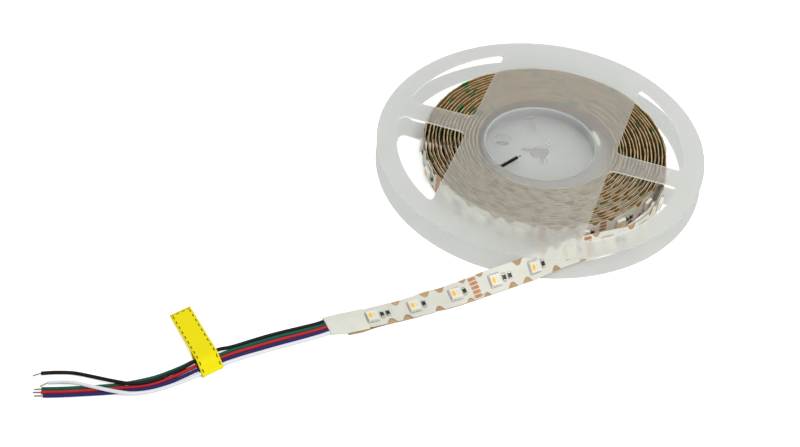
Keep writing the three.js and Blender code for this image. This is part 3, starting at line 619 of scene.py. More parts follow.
def label_sheet():
    """Yellow film with a dashed black line along each edge and across each tip."""
    material, shader = principled("label_film", (0.92, 0.80, 0.01), 0.45, specular=0.1)
    place = add_node(material, "ShaderNodeUVMap", uv_map="sheet")
    share = add_node(material, "ShaderNodeSeparateXYZ", {"Vector": place.outputs["UV"]}).outputs

    def both(first, second):
        return calculate(material, "MULTIPLY", first, second)

    def below(value, limit):
        return calculate(material, "LESS_THAN", value, limit)

    def line(value, low, high):
        return both(calculate(material, "GREATER_THAN", value, low), below(value, high))

    def from_middle(axis):
        return calculate(material, "ABSOLUTE", calculate(material, "SUBTRACT", share[axis], 0.5))

    def dashes(axis, count):
        return below(calculate(material, "FRACT", both(share[axis], count)), 0.5)

    across = from_middle("Y")
    along_edge = both(line(across, *LABEL_LINE), dashes("X", LABEL_DASHES))
    inside = both(below(across, LABEL_LINE[1]), dashes("Y", LABEL_TIP_DASHES))
    at_tip = both(line(from_middle("X"), *LABEL_TIP_LINE), inside)
    blend = add_node(material, "ShaderNodeMix", {
        "A": (0.90, 0.78, 0.004, 1.0), "B": (0.02, 0.02, 0.01, 1.0),
        "Factor": calculate(material, "MAXIMUM", along_edge, at_tip),
    }, data_type="RGBA")
    feed(material, shader.inputs["Base Color"], blend.outputs["Result"])
    bump_by(material, shader, noise_field(material, 300.0), 0.08, 0.0002)
    return material


MATERIALS = make_materials()


# Reel halves

def window_outline():
    def half_width(x):
        share = (x - WINDOW_CHORD) / (WINDOW_RADIUS - WINDOW_CHORD)
        return (SPOKE_INNER + (SPOKE_OUTER - SPOKE_INNER) * share) / 2

    chord_end = math.acos(WINDOW_CHORD / WINDOW_RADIUS)
    spoke_end = math.asin(half_width(WINDOW_RADIUS) / WINDOW_RADIUS)
    turn = WINDOW_FILLET / WINDOW_RADIUS
    far = polar(WINDOW_RADIUS, chord_end)
    tip = polar(WINDOW_RADIUS, spoke_end)
    inner = (WINDOW_CHORD, half_width(WINDOW_CHORD))
    rim = arc(WINDOW_RADIUS, chord_end - turn, spoke_end + turn, 24)
    before, after = tip[0] - WINDOW_FILLET, WINDOW_CHORD + WINDOW_FILLET
    points = corner((far[0], far[1] - WINDOW_FILLET), far, rim[0]) + rim[1:-1]
    points += corner(rim[-1], tip, (before, half_width(before)))
    points += corner((after, half_width(after)), inner, (WINDOW_CHORD, inner[1] + WINDOW_FILLET))
    return points


def block(x0, x1, width):
    return [(x0, -width / 2), (x1, -width / 2), (x1, width / 2), (x0, width / 2)]


def reel_half_mesh():
    """One moulding with its outer face at height 0 and a spoke along X."""
    cup = HUB_RADIUS - HUB_WALL
    floor_top = MID_HEIGHT - HALVES_GAP / 2
    floor_low = floor_top - HUB_FLOOR
    rim = FLANGE_THICKNESS / 2
    profile = [(0, floor_low)]
    profile += arc(CUP_FILLET, math.pi / 2, 0, 5, (cup - CUP_FILLET, floor_low - CUP_FILLET))
    profile += arc(HUB_LIP, math.pi, 1.5 * math.pi, 6, (cup + HUB_LIP, HUB_LIP))
    profile += arc(rim, -math.pi / 2, math.pi / 2, 8, (FLANGE_RADIUS - rim, rim))
    profile += [(HUB_RADIUS, FLANGE_THICKNESS), (HUB_RADIUS, floor_top), (0, floor_top)]
    body = revolve("reel_half", profile, REVOLVE_STEPS)
    cutters = []
    for sx, sy in ((1, 1), (-1, 1), (-1, -1), (1, -1)):
        outline = [(x * sx, y * sy) for x, y in window_outline()]
        cutters.append(prism(outline, -1, FLANGE_THICKNESS + 1))
    openings = [(arc(ARBOR_RADIUS, 0, 2 * math.pi, 48)[:-1], 0)]
    openings += [(block(0, ARBOR_NOTCH_REACH, ARBOR_NOTCH_WIDTH), angle) for angle in ARBOR_NOTCH_ANGLES]
    openings.append((block(SLOT_INNER, SLOT_OUTER, SLOT_WIDTH), SLOT_ANGLE))
    openings.append((arc(HOLE_RADIUS, 0, 2 * math.pi, 40, (HOLE_REACH, 0))[:-1], HOLE_ANGLE))
    cutters += [prism(outline, floor_low - 1, MID_HEIGHT + 1, angle) for outline, angle in openings]
    port = block(cup - 1, HUB_RADIUS + 1, PORT_WIDTH)
    cutters.append(prism(port, floor_low - PORT_HEIGHT, floor_low, PORT_ANGLE))
    mesh = cut_away(body, cutters)
    mesh.name = "reel_half"
    for face in mesh.polygons:
        reach = face.center.xy.length / MM
        if abs(face.normal.z) < 0.5 and reach < WINDOW_RADIUS + 1:
            face.material_index = EDGE if reach > HUB_RADIUS + 1 else WALL if reach > SLOT_INNER - 1 else LIP
        elif abs(face.normal.z) < 0.97 and cup < reach < cup + HUB_LIP:
            face.material_index = LIP
    shade(mesh, 35)
    return mesh


def add_reel():
    lower_mesh = reel_half_mesh()
    upper_mesh = lower_mesh.copy()
    spin = Matrix.Rotation(math.radians(SPOKE_ANGLE), 4, "Z")
    over = Matrix.Translation((0, 0, REEL_HEIGHT * MM)) @ spin @ Matrix.Rotation(math.pi, 4, "X")
    for name, mesh, turn in (("lower", lower_mesh, spin), ("upper", upper_mesh, over)):
        mesh.transform(Matrix.Translation(AXIS) @ turn)
        mesh.update()
        node = f"{name}_reel_half"
        piece = add_piece(f"{node}_look", mesh, "reel_plastic", *REEL_SURFACES, node=node)
        piece.modifiers.new("even_shading", "WEIGHTED_NORMAL").keep_sharp = True


# Light strip

def coil_place(share):
    """Centre of the tape in plan; 0 is the inner end of the winding and 1 the outer end."""
    radius = COIL_INNER_RADIUS + (COIL_OUTER_RADIUS - COIL_INNER_RADIUS) * share
    x, y = (a + (b - a) * share for a, b in zip(COIL_INNER_OFFSET, COIL_OUTER_OFFSET))
    across, away = polar(radius, (1 - share) * TURNS * 2 * math.pi)
    return Vector((x + across, y + away, 0))


class Station:
    """A cross-section of the strip: its centre, its directions and its distance from the first LED."""

    def __init__(self, plan, forward, edge, lean, along):
        self.forward = Vector((forward.x, forward.y, 0)).normalized()
        left = Vector((-self.forward.y, self.forward.x, 0))
        self.up = left * math.cos(lean) + Vector((0, 0, math.sin(lean)))
        self.normal = self.forward.cross(self.up)
        self.centre = Vector((plan.x, plan.y, edge + STRIP_WIDTH / 2 * math.sin(lean)))
        self.along = along

    def point(self, across, out):
        place = self.centre + self.up * across + self.normal * out
        return at(place.x, place.y, place.z)


def free_end_stations():
    plan = [Vector((x, y, 0)) for x, y, _, _ in FREE_END] + [coil_place(1)]
    poise = [Vector((edge, lean, 0)) for _, _, edge, lean in FREE_END] + [Vector((COIL_EDGE, 90, 0))]
    slices = (len(plan) - 1) * STATIONS_A_SPAN
    spots = [catmull_rom(plan, i / slices, True) for i in range(slices + 1)]
    along = running_length(spots)
    zero = along[FIRST_LED_STATION * STATIONS_A_SPAN]
    stations = []
    for i, spot in enumerate(spots):
        before, after = spots[max(i - 1, 0)], spots[min(i + 1, slices)]
        edge, lean, _ = catmull_rom(poise, i / slices, False)
        stations.append(Station(spot, after - before, edge, math.radians(min(lean, 90)), along[i] - zero))
    return stations


FREE_STATIONS = free_end_stations()
FREE_REACH = FREE_STATIONS[-1].along


def station_among(stations, along):
    index = min(max(bisect_left(stations, along, key=lambda s: s.along), 1), len(stations) - 1)
    b = stations[index]
    a = stations[index - 1]
    share = (along - a.along) / (b.along - a.along)
    mixed = Station.__new__(Station)
    mixed.centre = a.centre.lerp(b.centre, share)
    mixed.forward = a.forward.lerp(b.forward, share).normalized()
    mixed.up = a.up.lerp(b.up, share).normalized()
    mixed.normal = a.normal.lerp(b.normal, share).normalized()
    mixed.along = along
    return mixed


def free_station(along):
    return station_among(FREE_STATIONS, along)


def unevenness(along, length, size, seed):
    return noise.noise(Vector((along / length, *seed))) * size


def coil_stations(step, length_limit=math.inf):
    """Sections from the outer end of the winding inwards, with a slight unevenness of the turns."""
    stations = []
    along = FREE_REACH
    share = 1.0
    previous = coil_place(1.0)
    while share >= 0 and along <= FREE_REACH + length_limit:
        spot = coil_place(share)
        radius = COIL_INNER_RADIUS + (COIL_OUTER_RADIUS - COIL_INNER_RADIUS) * share
        ease = min(1.0, (along - FREE_REACH) / WAVES_EASE_IN)
        wave = sum(unevenness(along, *kind) * ease for kind in WAVES)
        lift = unevenness(along, *LIFT_WAVE) * ease
        forward = (coil_place(share - 1e-4) - coil_place(share + 1e-4)).normalized()
        outward = forward.cross(Vector((0, 0, 1)))
        along += (spot - previous).length
        previous = spot
        stations.append(Station(spot + outward * wave, forward, COIL_EDGE + lift, math.pi / 2, along))
        share -= step / (TURNS * 2 * math.pi * radius)
    return stations


NOTCH_BOTTOM, NOTCH_FLARE = 2.2, 1.3
NOTCHES = (
    {"upper": (0.63,), "lower": (0.38, 0.75), "width": 5.2, "depth": 2.7},
    {"upper": (0.345, 0.71), "lower": (0.52,), "width": 5.2, "depth": 2.7},
    {"upper": (0.28, 0.71), "lower": (0.28, 0.71), "width": 4.2, "depth": 1.9},
)


def notch_depth(along, edge):
    """How far a notch cuts in from an edge: a rounded bottom between sides that flare out."""
    if along > JOINT_LAST_LED * LED_PITCH + JOINT_OFFSET:
        along += JOINT_SHIFT
    led = math.floor(along / LED_PITCH)
    kind = NOTCHES[led % 3]
    for share in kind[edge]:
        away = abs(along - (led + share) * LED_PITCH) / (kind["width"] / 2)
        if away < 1:
            return kind["depth"] * (1 - away ** NOTCH_BOTTOM) ** NOTCH_FLARE
    return 0.0


def ribbon(name, stations, front, back, upper, lower, painted_shade_from):
    """A thin strip through the stations; upper and lower give its reach to each edge.

    Material slots: 0 the face, 1 the edges, 2 the back, 3 the middle of the face between turns, where a dark
    colour is painted shade for the deep gaps of the winding.
    """
    rings = []
    for s in stations:
        top, bottom = upper(s.along), lower(s.along)
        rings.append([
            s.point(-bottom, back), s.point(-bottom, front), s.point(FACE_BAND - bottom, front),
            s.point(top - FACE_BAND, front), s.point(top, front), s.point(top, back),
        ])
    mesh = loft(name, rings, 30)
    count = len(rings[0])
    for face in mesh.polygons[:count * (len(rings) - 1)]:
        # The middle band of the face on wound turns gets the painted shade.
        middle = 3 if stations[face.index // count].along > painted_shade_from else 0
        face.material_index = (1, 0, middle, 0, 1, 2)[face.index % count]
    return mesh


def circuit_reach(edge):
    def reach(along):
        wound = min(max((along - FREE_REACH) / LED_PITCH, 0), 1)
        half = STRIP_WIDTH / 2 - FREE_INSET - (EDGE_INSET - FREE_INSET) * wound
        if along < SLEEVE_START + SLEEVE_LENGTH + 1:
            return half - EDGE_INSET + FREE_INSET
        return half - notch_depth(along, edge)

    return reach


def liner_drop(station):
    """How far the liner hangs below the circuit where the sleeve's wall lies between them."""
    room = SLEEVE_WALL + 2 * SLEEVE_CLEARANCE
    share = min(max((LED_PITCH / 4 - station.along) / (LED_PITCH / 2.6), 0), 1)
    low_edge = station.centre.z - STRIP_WIDTH / 2 * station.up.z
    limit = low_edge - STRIP_THICKNESS / 2 - LINER_GAP - LINER_THICKNESS - FLOOR_CLEARANCE
    return max(0, min(share * room, limit))


def eased(share):
    share = min(max(share, 0), 1)
    return share * share * (3 - 2 * share)


def liner_slide(along):
    """How far the loose liner has slipped towards an edge: up in one place, down at its end."""
    place, reach, up = LINER_SLIP
    start, run, down = LINER_END_SLIP
    return up * eased(1 - abs(along - place) / reach) - down * eased((start - along) / run)


def frange(start, end, step):
    count = int((end - start) / step)
    return [start + step * i for i in range(count + 1)]


def add_strip():
    front = STRIP_THICKNESS / 2
    liner_front = -front - LINER_GAP
    liner_back = liner_front - LINER_THICKNESS
    tape_back = liner_back - TAPE_THICKNESS
    half = STRIP_WIDTH / 2
    free = [free_station(a) for a in frange(STRIP_START, FREE_REACH - FREE_SHORT, FREE_STEP)]
    wound = coil_stations(COIL_STEP)
    # Past the outer turns, the middle of the circuit's face takes painted shade for the gaps of the winding.
    inner_turns = FREE_REACH + 2 * math.pi * COIL_OUTER_RADIUS
    reaches = circuit_reach("upper"), circuit_reach("lower")
    circuit = ribbon("circuit", free + wound, front, -front, *reaches, inner_turns)
    looks = ("circuit", "circuit_edge", "circuit_back", "circuit_painted_shade")
    add_piece("strip_circuit", circuit, "circuit", *looks, node="led_strip")
    # The wound liner's faces take the painted shade; its edges keep the lighter tan.
    wound_liner = ribbon("liner", wound, liner_front, tape_back, lambda a: half, lambda a: half, 0)
    for face in wound_liner.polygons:
        face.material_index = 1 if face.material_index == 1 else 0
    add_piece("strip_wound_liner", wound_liner, "liner", "liner_painted_shade", "liner_edge")
    rings = []
    for a in frange(STRIP_START, FREE_REACH - FREE_SHORT, LINER_STEP):
        s = free_station(a)
        drop, slide = liner_drop(s), liner_slide(a)
        corners = ((-half, liner_back), (-half, liner_front), (half, liner_front), (half, liner_back))
        rings.append([s.point(slide + across, out - drop) for across, out in corners])
    add_piece("strip_free_liner", loft("free_liner", rings, 30), "liner", "liner", node="tail_liner")
    add_liner_print(wound, tape_back)


def add_liner_print(wound, back):
    """Plain fields of green along the upper edge of the wound liner, every so often."""
    half = STRIP_WIDTH / 2 + PRINT_PROUD
    points, faces = [], []
    first = wound[0].along
    for i in range(1, int((wound[-1].along - first) / PRINT_PITCH)):
        start = first + PRINT_PITCH * (i + 0.35 * math.sin(7.0 * i))
        size = PRINT_LENGTH[0] + PRINT_LENGTH[1] * math.sin(3.0 * i)
        depth = PRINT_DEPTH[0] + PRINT_DEPTH[1] * math.sin(5.0 * i)
        for j in range(5):
            s = station_among(wound, start + size * j / 4)
            points += [s.point(half - depth, back - PRINT_PROUD), s.point(half, back - PRINT_PROUD)]
            points.append(s.point(half, back + PRINT_OVER_EDGE))
            if j:
                a = len(points) - 3
                faces += [(a - 3, a, a + 1, a - 2), (a - 2, a + 1, a + 2, a - 1)]
    add_piece("strip_liner_print", mesh_from("liner_print", points, faces), "liner", "print")


# Parts on the strip

def seat_matrix(station):
    """A local frame on the strip's face: X along the strip, Y to its upper edge, Z out of it."""
    place = station.centre + station.normal * (STRIP_THICKNESS / 2)
    turn = Matrix((station.forward, station.up, station.normal)).transposed().to_4x4()
    return Matrix.Translation(at(*place)) @ turn @ Matrix.Scale(MM, 4)


def box_into(work, size, centre, slot=0, bevel=0.0):
    made = bmesh.ops.create_cube(work, size=1.0)
    verts = made["verts"]
    bmesh.ops.scale(work, vec=Vector(size), verts=verts)
    bmesh.ops.translate(work, vec=Vector(centre), verts=verts)
    faces = {f for v in verts for f in v.link_faces}
    for face in faces:
        face.material_index = slot
    if bevel:
        edges = list({e for v in verts for e in v.link_edges})
        bmesh.ops.bevel(work, geom=edges, offset=bevel, segments=2, affect="EDGES", profile=0.5)


def disc_into(work, radius, height, centre, slot, steps=24, start=0.0, sweep=2 * math.pi, scale_x=1.0):
    """A flat plate cut from a circle, whole or in part."""
    outline = arc(radius, start, start + sweep, steps)
    if sweep >= 2 * math.pi:
        outline = outline[:-1]
    low, high = (
        [work.verts.new((centre[0] + x * scale_x, centre[1] + y, centre[2] + z)) for x, y in outline]
        for z in (0, height)
    )
    faces = [work.faces.new(low[::-1]), work.faces.new(high)]
    for i in range(len(low)):
        j = (i + 1) % len(low)
        faces.append(work.faces.new((low[i], low[j], high[j], high[i])))
    for face in faces:
        face.material_index = slot


def led_mesh():
    """A square package with a round bowl, its wires and dies in one half, and four legs on each side."""
    work = bmesh.new()
    half = LED_SIZE / 2
    top = SEAT_GAP + LED_HEIGHT
    floor = top - BOWL_DEPTH
    body = LED_HEIGHT - BOWL_DEPTH
    box_into(work, (LED_SIZE, LED_SIZE, body), (0, 0, SEAT_GAP + body / 2), 0)
    layers = []
    for i in range(BOWL_STEPS):
        angle = i * 2 * math.pi / BOWL_STEPS
        c, s = math.cos(angle), math.sin(angle)
        reach = half / max(abs(c), abs(s))
        ways = ((reach, floor), (reach * 0.99, top), (BOWL_RADIUS, top), (BOWL_RADIUS * 0.9, floor + 0.02))
        layers.append([work.verts.new((c * out, s * out, z)) for out, z in ways])
    for a, b in zip(layers, layers[1:] + layers[:1]):
        for k in range(3):
            work.faces.new((a[k], b[k], b[k + 1], a[k + 1]))
    disc_into(work, BOWL_RADIUS * 0.93, 0.12, (0, 0, floor), 1)
    for x, y in LED_DIES:
        box_into(work, (0.22, 0.3, 0.06), (x, y, floor + 0.14), 3)
    box_into(work, (0.06, 2.9, 0.05), (0.28, 0, floor + 0.14), 2)
    for side in (-1, 1):
        for x in LED_LEGS:
            box_into(work, (0.55, 0.7, 0.25), (x, side * (half + 0.2), SEAT_GAP + 0.1), 4, bevel=0.06)
    sheet = work.loops.layers.uv.new("sheet")
    for face in work.faces:
        for loop in face.loops:
            loop[sheet].uv = (loop.vert.co.x / LED_SIZE + 0.5, loop.vert.co.y / LED_SIZE + 0.5)
    return fill_mesh(bpy.data.meshes.new("led"), work, 35)


def marks_mesh():
    """The thin printed frame round a package and its first resistor."""
    work = bmesh.new()

    def mark(length, width, x, y):
        box_into(work, (length, width, 0.02), (x, y, 0.012))

    far = LED_SIZE / 2 + 0.75
    for part in range(4):
        mark(MARK_WIDTH, 1.4, -LED_SIZE / 2 - 0.45, (part - 1.5) * 1.55)
    for side in (-1, 1):
        for part in range(5):
            mark(1.0, MARK_WIDTH, (part - 2) * 1.2, side * far)
        for leg in range(4):
            mark(MARK_WIDTH, 0.5, (leg - 1.5) * 1.2 + 0.4, side * (far - 0.3))
        mark(1.9, 0.14, RESISTOR_FIRST, side * 2.1)
    return fill_mesh(bpy.data.meshes.new("marks"), work)


def pads_mesh():
    """Five pairs of bare copper pads across the strip, where it may be cut."""
    work = bmesh.new()
    for k in range(5):
        across = (k - 2) * PAD_PITCH
        for side in (-1, 1):
            middle = side * (PAD_LENGTH / 4 + 0.04)
            box_into(work, (PAD_LENGTH / 2 - 0.08, PAD_WIDTH, 0.04), (middle, across, 0.02))
            tip = (side * PAD_LENGTH / 2, across, 0)
            start = -side * math.pi / 2
            disc_into(work, PAD_WIDTH / 2, 0.04, tip, 0, 12, start, sweep=math.pi, scale_x=0.45)
            disc_into(work, 0.3, 0.045, (side * 0.6, across, 0), 1, 10)
        box_into(work, (0.16, PAD_WIDTH * 0.7, 0.05), (0, across, 0.025), 1)
    for side in (-1, 1):
        dot = (side * (PAD_LENGTH / 2 + 1.1), -2.0 * PAD_PITCH - 0.2, 0)
        disc_into(work, 0.22, 0.03, dot, 2, 10)
    return fill_mesh(bpy.data.meshes.new("pads"), work)


def resistor_mesh():
    work = bmesh.new()
    body = RESISTOR_LENGTH - 2 * RESISTOR_END
    middle = SEAT_GAP + RESISTOR_HEIGHT / 2
    box_into(work, (RESISTOR_WIDTH, body, RESISTOR_HEIGHT), (0, 0, middle), 0, bevel=0.05)
    for side in (-1, 1):
        centre = (0, side * (body / 2 + RESISTOR_END / 2), middle)
        box_into(work, (RESISTOR_WIDTH, RESISTOR_END, RESISTOR_HEIGHT * 0.96), centre, 1, bevel=0.1)
    return fill_mesh(bpy.data.meshes.new("resistor"), work, 35)


def fix_on_strip(name, mesh, station, slot, looks, node):
    """Stands a rigid part on the strip's face."""
    body = mesh.copy()
    body.transform(seat_matrix(station))
    add_piece(name, body, slot, *looks, node=node)


def lay_on_strip(name, mesh, line, along, *looks):
    """Places a thin flat mesh on the strip's face, bent and twisted as the strip is."""
    body = mesh.copy()
    for vertex in body.vertices:
        x, y, z = vertex.co
        vertex.co = station_among(line, along + x).point(y, STRIP_THICKNESS / 2 + z)
    body.update()
    add_piece(name, body, "circuit", *looks)


def add_components():
    led, resistor, pads, marks = led_mesh(), resistor_mesh(), pads_mesh(), marks_mesh()
    led_looks = ("led", "phosphor", "clear", "die", "solder")
    pad_looks = ("copper", "copper_dark", "outline")
    line = FREE_STATIONS + coil_stations(PARTS_STEP, DRESSED_LENGTH)[1:]
    count = 0
    for i in range(LEDS_ON_FREE_END + LEDS_ON_OUTER_TURNS):
        if JOINT_LAST_LED < i < JOINT_NEXT_LED:
            continue
        in_cad = i < LEDS_ON_FREE_END
        centre = i * LED_PITCH - (JOINT_SHIFT if i > JOINT_LAST_LED else 0)
        node = f"led_{i + 1}" if in_cad else None
        fix_on_strip(f"led_look_{i + 1}", led, station_among(line, centre), "led", led_looks, node)
        lay_on_strip(f"print_look_{i + 1}", marks, line, centre, "outline")
        if i % 3 == 2:
            lay_on_strip(f"pads_look_{i // 3 + 1}", pads, line, centre + PADS_OFFSET, *pad_looks)
        for offset in (RESISTOR_FIRST, RESISTOR_SECOND) if i % 3 == 0 else (RESISTOR_FIRST,):
            count += 1
            station = station_among(line, centre + offset)
            node = f"resistor_{count}" if in_cad else None
            looks = ("resistor", "solder")
            fix_on_strip(f"resistor_look_{count}", resistor, station, "resistor", looks, node)


# Sleeve

def sleeve_ring(station, width, height, rounding, lift):
    points = []
    a, b = width / 2 - rounding, height / 2 - rounding
    for sx, sy, start in ((1, 1, 0), (-1, 1, 90), (-1, -1, 180), (1, -1, 270)):
        for k in range(5):
            angle = math.radians(start + 22.5 * k)
            across = sx * a + rounding * math.cos(angle)
            out = sy * b + rounding * math.sin(angle) + lift
            points.append(station.point(across, out))
    return points


def add_sleeve():
    mouth = SLEEVE_START + SLEEVE_LENGTH
    inside_width = STRIP_WIDTH - 2 * EDGE_INSET + 2 * SLEEVE_CLEARANCE
    inside_height = STRIP_THICKNESS + 2 * SLEEVE_CLEARANCE
    wide, high = inside_width + 2 * SLEEVE_WALL, inside_height + 2 * SLEEVE_WALL
    pocket = STRIP_START - SLEEVE_CLEARANCE
    shoulder = pocket - SLEEVE_SHOULDER
    sections = [
        (SLEEVE_START, SLEEVE_MOUTH, WIRE_DIAMETER + SLEEVE_WALL, 0.75, 0.3),
        ((SLEEVE_START + shoulder) / 2, (SLEEVE_MOUTH + wide) / 2, WIRE_DIAMETER, 0.6, 0.2),
        (shoulder, wide, high, 0.5, 0),
    ]
    sections += [(a, wide, high, 0.5, 0) for a in frange(shoulder + 1, mouth - 0.5, 0.9)]
    sections += [
        (mouth, wide, high, 0.5, 0),
        (mouth, inside_width, inside_height, 0.2, 0),
        (pocket, inside_width, inside_height, 0.2, 0),
    ]
    rings = [sleeve_ring(free_station(a), *size) for a, *size in sections]
    end = free_station(SLEEVE_START)
    centre = at(*end.centre)
    rings[0] = [
        p - end.forward * (SLEEVE_REACH * MM + SLEEVE_SLANT * (p - centre).dot(end.up)) for p in rings[0]
    ]
    add_piece("sleeve_look", loft("sleeve", rings, 50), "sleeve", "sleeve", node="end_sleeve")


# Wires

def add_wire(name, line, colour, node):
    """A round wire as one open spline, with its ends closed."""
    data = bpy.data.curves.new(name, "CURVE")
    data.dimensions = "3D"
    data.bevel_depth = WIRE_DIAMETER / 2 * MM
    data.bevel_resolution = 4
    data.use_fill_caps = True
    spline = data.splines.new("POLY")
    spline.points.add(len(line) - 1)
    for spot, p in zip(spline.points, line):
        spot.co = (*at(*p), 1.0)
    spline.use_smooth = True
    return add_piece(name, data, f"wire_{colour}", colour, node=node)


def add_tip(name, start, end, node):
    """Seven tinned strands with a slight twist."""
    start, end = Vector(start), Vector(end)
    run = end - start
    side = run.cross(Vector((0, 0, 1))).normalized()
    up = side.cross(run).normalized()
    strand = TIP_DIAMETER / 4
    work = bmesh.new()
    for k in range(TIP_STRANDS):
        rings = []
        for i in range(TIP_RINGS):
            t = i / (TIP_RINGS - 1)
            angle = k * 2 * math.pi / (TIP_STRANDS - 1) + t * TIP_TWIST
            spread = strand * (1 + 0.35 * t) if k else 0
            centre = start + run * t * (0.93 + 0.07 * ((k * 3) % 5) / 4)
            centre += (side * math.cos(angle) + up * math.sin(angle)) * spread
            ring = []
            for x, y in arc(strand / 2, 0, 2 * math.pi, TIP_SIDES)[:-1]:
                ring.append(work.verts.new(at(*(centre + side * x + up * y))))
            rings.append(ring)
        for a, b in zip(rings, rings[1:]):
            for j in range(TIP_SIDES):
                n = (j + 1) % TIP_SIDES
                work.faces.new((a[j], a[n], b[n], b[j]))
        work.faces.new(rings[0][::-1])
        work.faces.new(rings[-1])
    mesh = fill_mesh(bpy.data.meshes.new(name), work, 50)
    return add_piece(name, mesh, "tinned", "tinned", node=node)


def add_wires(label):
    for colour, route in WIRE_ROUTES.items():
        line = smooth_line(route, LINE_STEP)
        piece = add_wire(f"lead_{colour}", line, colour, f"wire_{colour}")
        tip = add_tip(f"tip_{colour}", route[-1], TIP_ENDS[colour], f"bare_end_{colour}")


# Label

def add_label():
    run, across, fold = (Vector((*pair, 0)) for pair in (LABEL_RUN, LABEL_ACROSS, LABEL_FOLD))
    line = smooth_line([(x, 0, z) for x, z in LABEL_PROFILE], 0.8)
    length = running_length(line)
    points, faces, sheet = [], [], []
    for spot, reached in zip(line, length):
        for j in range(LABEL_COLUMNS + 1):
            v = j / LABEL_COLUMNS
            place = fold + run * spot.x + across * (v - 0.5) * LABEL_WIDTH + Vector((0, 0, spot.z))
            points.append(at(*place))
            sheet.append((reached / length[-1], v))
    stride = LABEL_COLUMNS + 1
    for i in range(len(line) - 1):
        for a in range(i * stride, i * stride + LABEL_COLUMNS):
            faces.append((a, a + 1, a + 1 + stride, a + stride))
    mesh = mesh_from("label", points, faces)
    layer = mesh.uv_layers.new(name="sheet")
    for loop in mesh.loops:
        layer.data[loop.index].uv = sheet[loop.vertex_index]
    shade(mesh, 60)
    piece = add_piece("label_look", mesh, "label", "label", node="wire_label")
    thicken = piece.modifiers.new("film", "SOLIDIFY")
    thicken.thickness = LABEL_FILM * MM
    thicken.offset = 0
    return piece


# Inner lead

def hub_arc(start, end, height, radius):
    """Points round the hub, every few degrees."""
    count = math.ceil((end - start) / HUB_ARC_STEP)
    turns = [math.radians(start + (end - start) * i / count) for i in range(count + 1)]
    return [(*polar(radius, turn), height) for turn in turns]


PORT_AZIMUTH = SPOKE_ANGLE - PORT_ANGLE + 360
BLACK_INSIDE = ((-19.6, -15.0, 9.0), (-15.8, -11.4, 9.0), (-11.6, -7.4, 9.0))
BLACK_INSIDE_TIP = (-9.5, -5.5, 9.0)


def add_inner_lead():
    radius = HUB_RADIUS + INNER_LEAD_CLEARANCE + WIRE_DIAMETER / 2
    for i, colour in enumerate(("white", "blue", "red", "green", "black")):
        height = MID_HEIGHT + (i - 2) * INNER_LEAD_PITCH
        if colour == "black":
            points = hub_arc(INNER_LEAD_START, PORT_AZIMUTH - 12, height, radius)
            way_in = ((radius + 0.1, -6, height - 0.7), (radius - 2.2, -1.2, 9.0), (radius - 5, 0.4, 9.0))
            points += [(*polar(reach, math.radians(PORT_AZIMUTH + turn)), z) for reach, turn, z in way_in]
            points += BLACK_INSIDE
        else:
            points = hub_arc(INNER_LEAD_START, INNER_LEAD_ENDS[colour], height, radius)
        line = smooth_line(points, LINE_STEP)
        add_wire(f"inner_lead_{colour}", line, colour, f"inner_wire_{colour}")
    add_tip("tip_inner", BLACK_INSIDE[-1], BLACK_INSIDE_TIP, "bare_end_inner")


def dress_kept_nodes():
    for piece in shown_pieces():
        if piece.type == "MESH" and piece.name.startswith("inner_sleeve"):
            piece.data.materials.clear()
            piece.data.materials.append(MATERIALS["sleeve"])


# Floor, backdrop and light

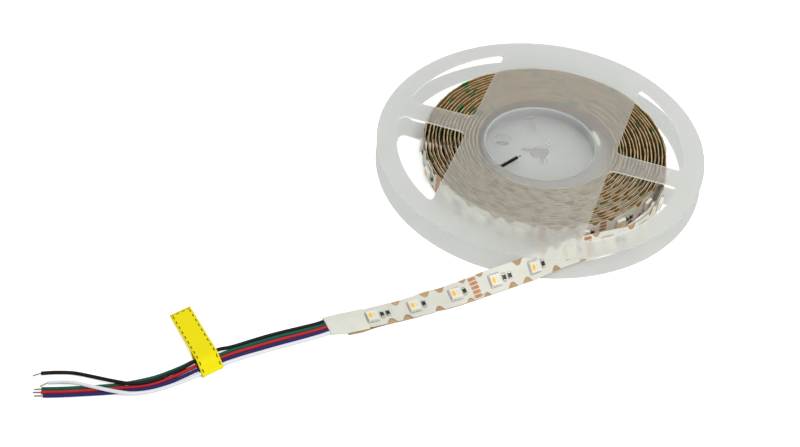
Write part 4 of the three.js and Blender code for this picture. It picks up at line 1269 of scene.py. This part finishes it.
def add_stage():
    """A white floor that glows for the camera, with painted shade: greyer where it is seen through plastic or
    in reflections, and a painted shadow under the hub.
    """
    material, shader = principled("floor_white", (0.95, 0.95, 0.95), 0.9)
    # Painted shadow: the floor greys towards the reel's axis, as if shaded by the hub.
    place = add_node(material, "ShaderNodeTexCoord").outputs["Object"]
    size = HUB_SHADE_REACH * MM
    centre = add_node(material, "ShaderNodeMapping", {
        "Vector": place, "Location": -AXIS / size, "Scale": (1 / size,) * 3,
    }).outputs["Vector"]
    distance = add_node(material, "ShaderNodeTexGradient", {"Vector": centre}, gradient_type="SPHERICAL")
    hub_painted_shadow = add_node(material, "ShaderNodeMapRange", {
        "Value": distance.outputs["Fac"], "From Min": 0.05, "From Max": 0.35,
    }, interpolation_type="SMOOTHSTEP").outputs["Result"]
    tone = add_node(material, "ShaderNodeMapRange", {
        "Value": hub_painted_shadow, "To Min": FLOOR_PAINTED_SHADE_BEHIND, "To Max": FLOOR_HUB_PAINTED_SHADOW,
    })
    behind = add_node(material, "ShaderNodeBsdfDiffuse", {"Color": tone.outputs["Result"]})
    glow = add_node(material, "ShaderNodeEmission", {"Color": (1, 1, 1, 1), "Strength": FLOOR_GLOW})
    lit = shader.outputs["BSDF"]
    both = add_node(material, "ShaderNodeAddShader", {0: lit, 1: glow.outputs["Emission"]})
    path = add_node(material, "ShaderNodeLightPath").outputs
    seen = mix_shaders(material, path["Is Camera Ray"], lit, both.outputs["Shader"])
    # Through plastic and in reflections the floor shows the painted grey.
    background = calculate(material, "MAXIMUM", path["Is Glossy Ray"], path["Is Transmission Ray"])
    shaded = calculate(material, "MAXIMUM", background, hub_painted_shadow)
    show(material, mix_shaders(material, shaded, seen, behind.outputs["BSDF"]))
    corners = [(x * FLOOR_HALF, y * FLOOR_HALF, 0) for x, y in ((-1, -1), (1, -1), (1, 1), (-1, 1))]
    floor = link("floor", mesh_from("floor", corners, [(0, 1, 2, 3)]))
    floor.data.materials.append(material)


def add_light():
    world = bpy.data.worlds.new("studio")
    bpy.context.scene.world = world
    world.use_nodes = True
    path = add_node(world, "ShaderNodeLightPath").outputs
    strength = add_node(world, "ShaderNodeMapRange", {
        "Value": path["Is Camera Ray"], "To Min": WORLD_LIGHT, "To Max": WORLD_SEEN,
    })
    backdrop = world.node_tree.nodes["Background"].inputs
    backdrop["Color"].default_value = (1.0, 1.0, 1.0, 1.0)
    feed(world, backdrop["Strength"], strength.outputs["Result"])
    for name, (place, width, power) in LAMPS.items():
        data = bpy.data.lights.new(name, "AREA")
        data.shape = "DISK"
        data.size = width
        data.energy = power
        lamp = link(name, data)
        lamp.location = place
        lamp.rotation_euler = (-Vector(place)).to_track_quat("-Z", "Y").to_euler()
    bpy.context.scene.view_settings.view_transform = "Standard"


add_camera()
add_wires(add_label())
add_reel()
add_strip()
add_components()
add_sleeve()
add_inner_lead()
dress_kept_nodes()
add_stage()
add_light()
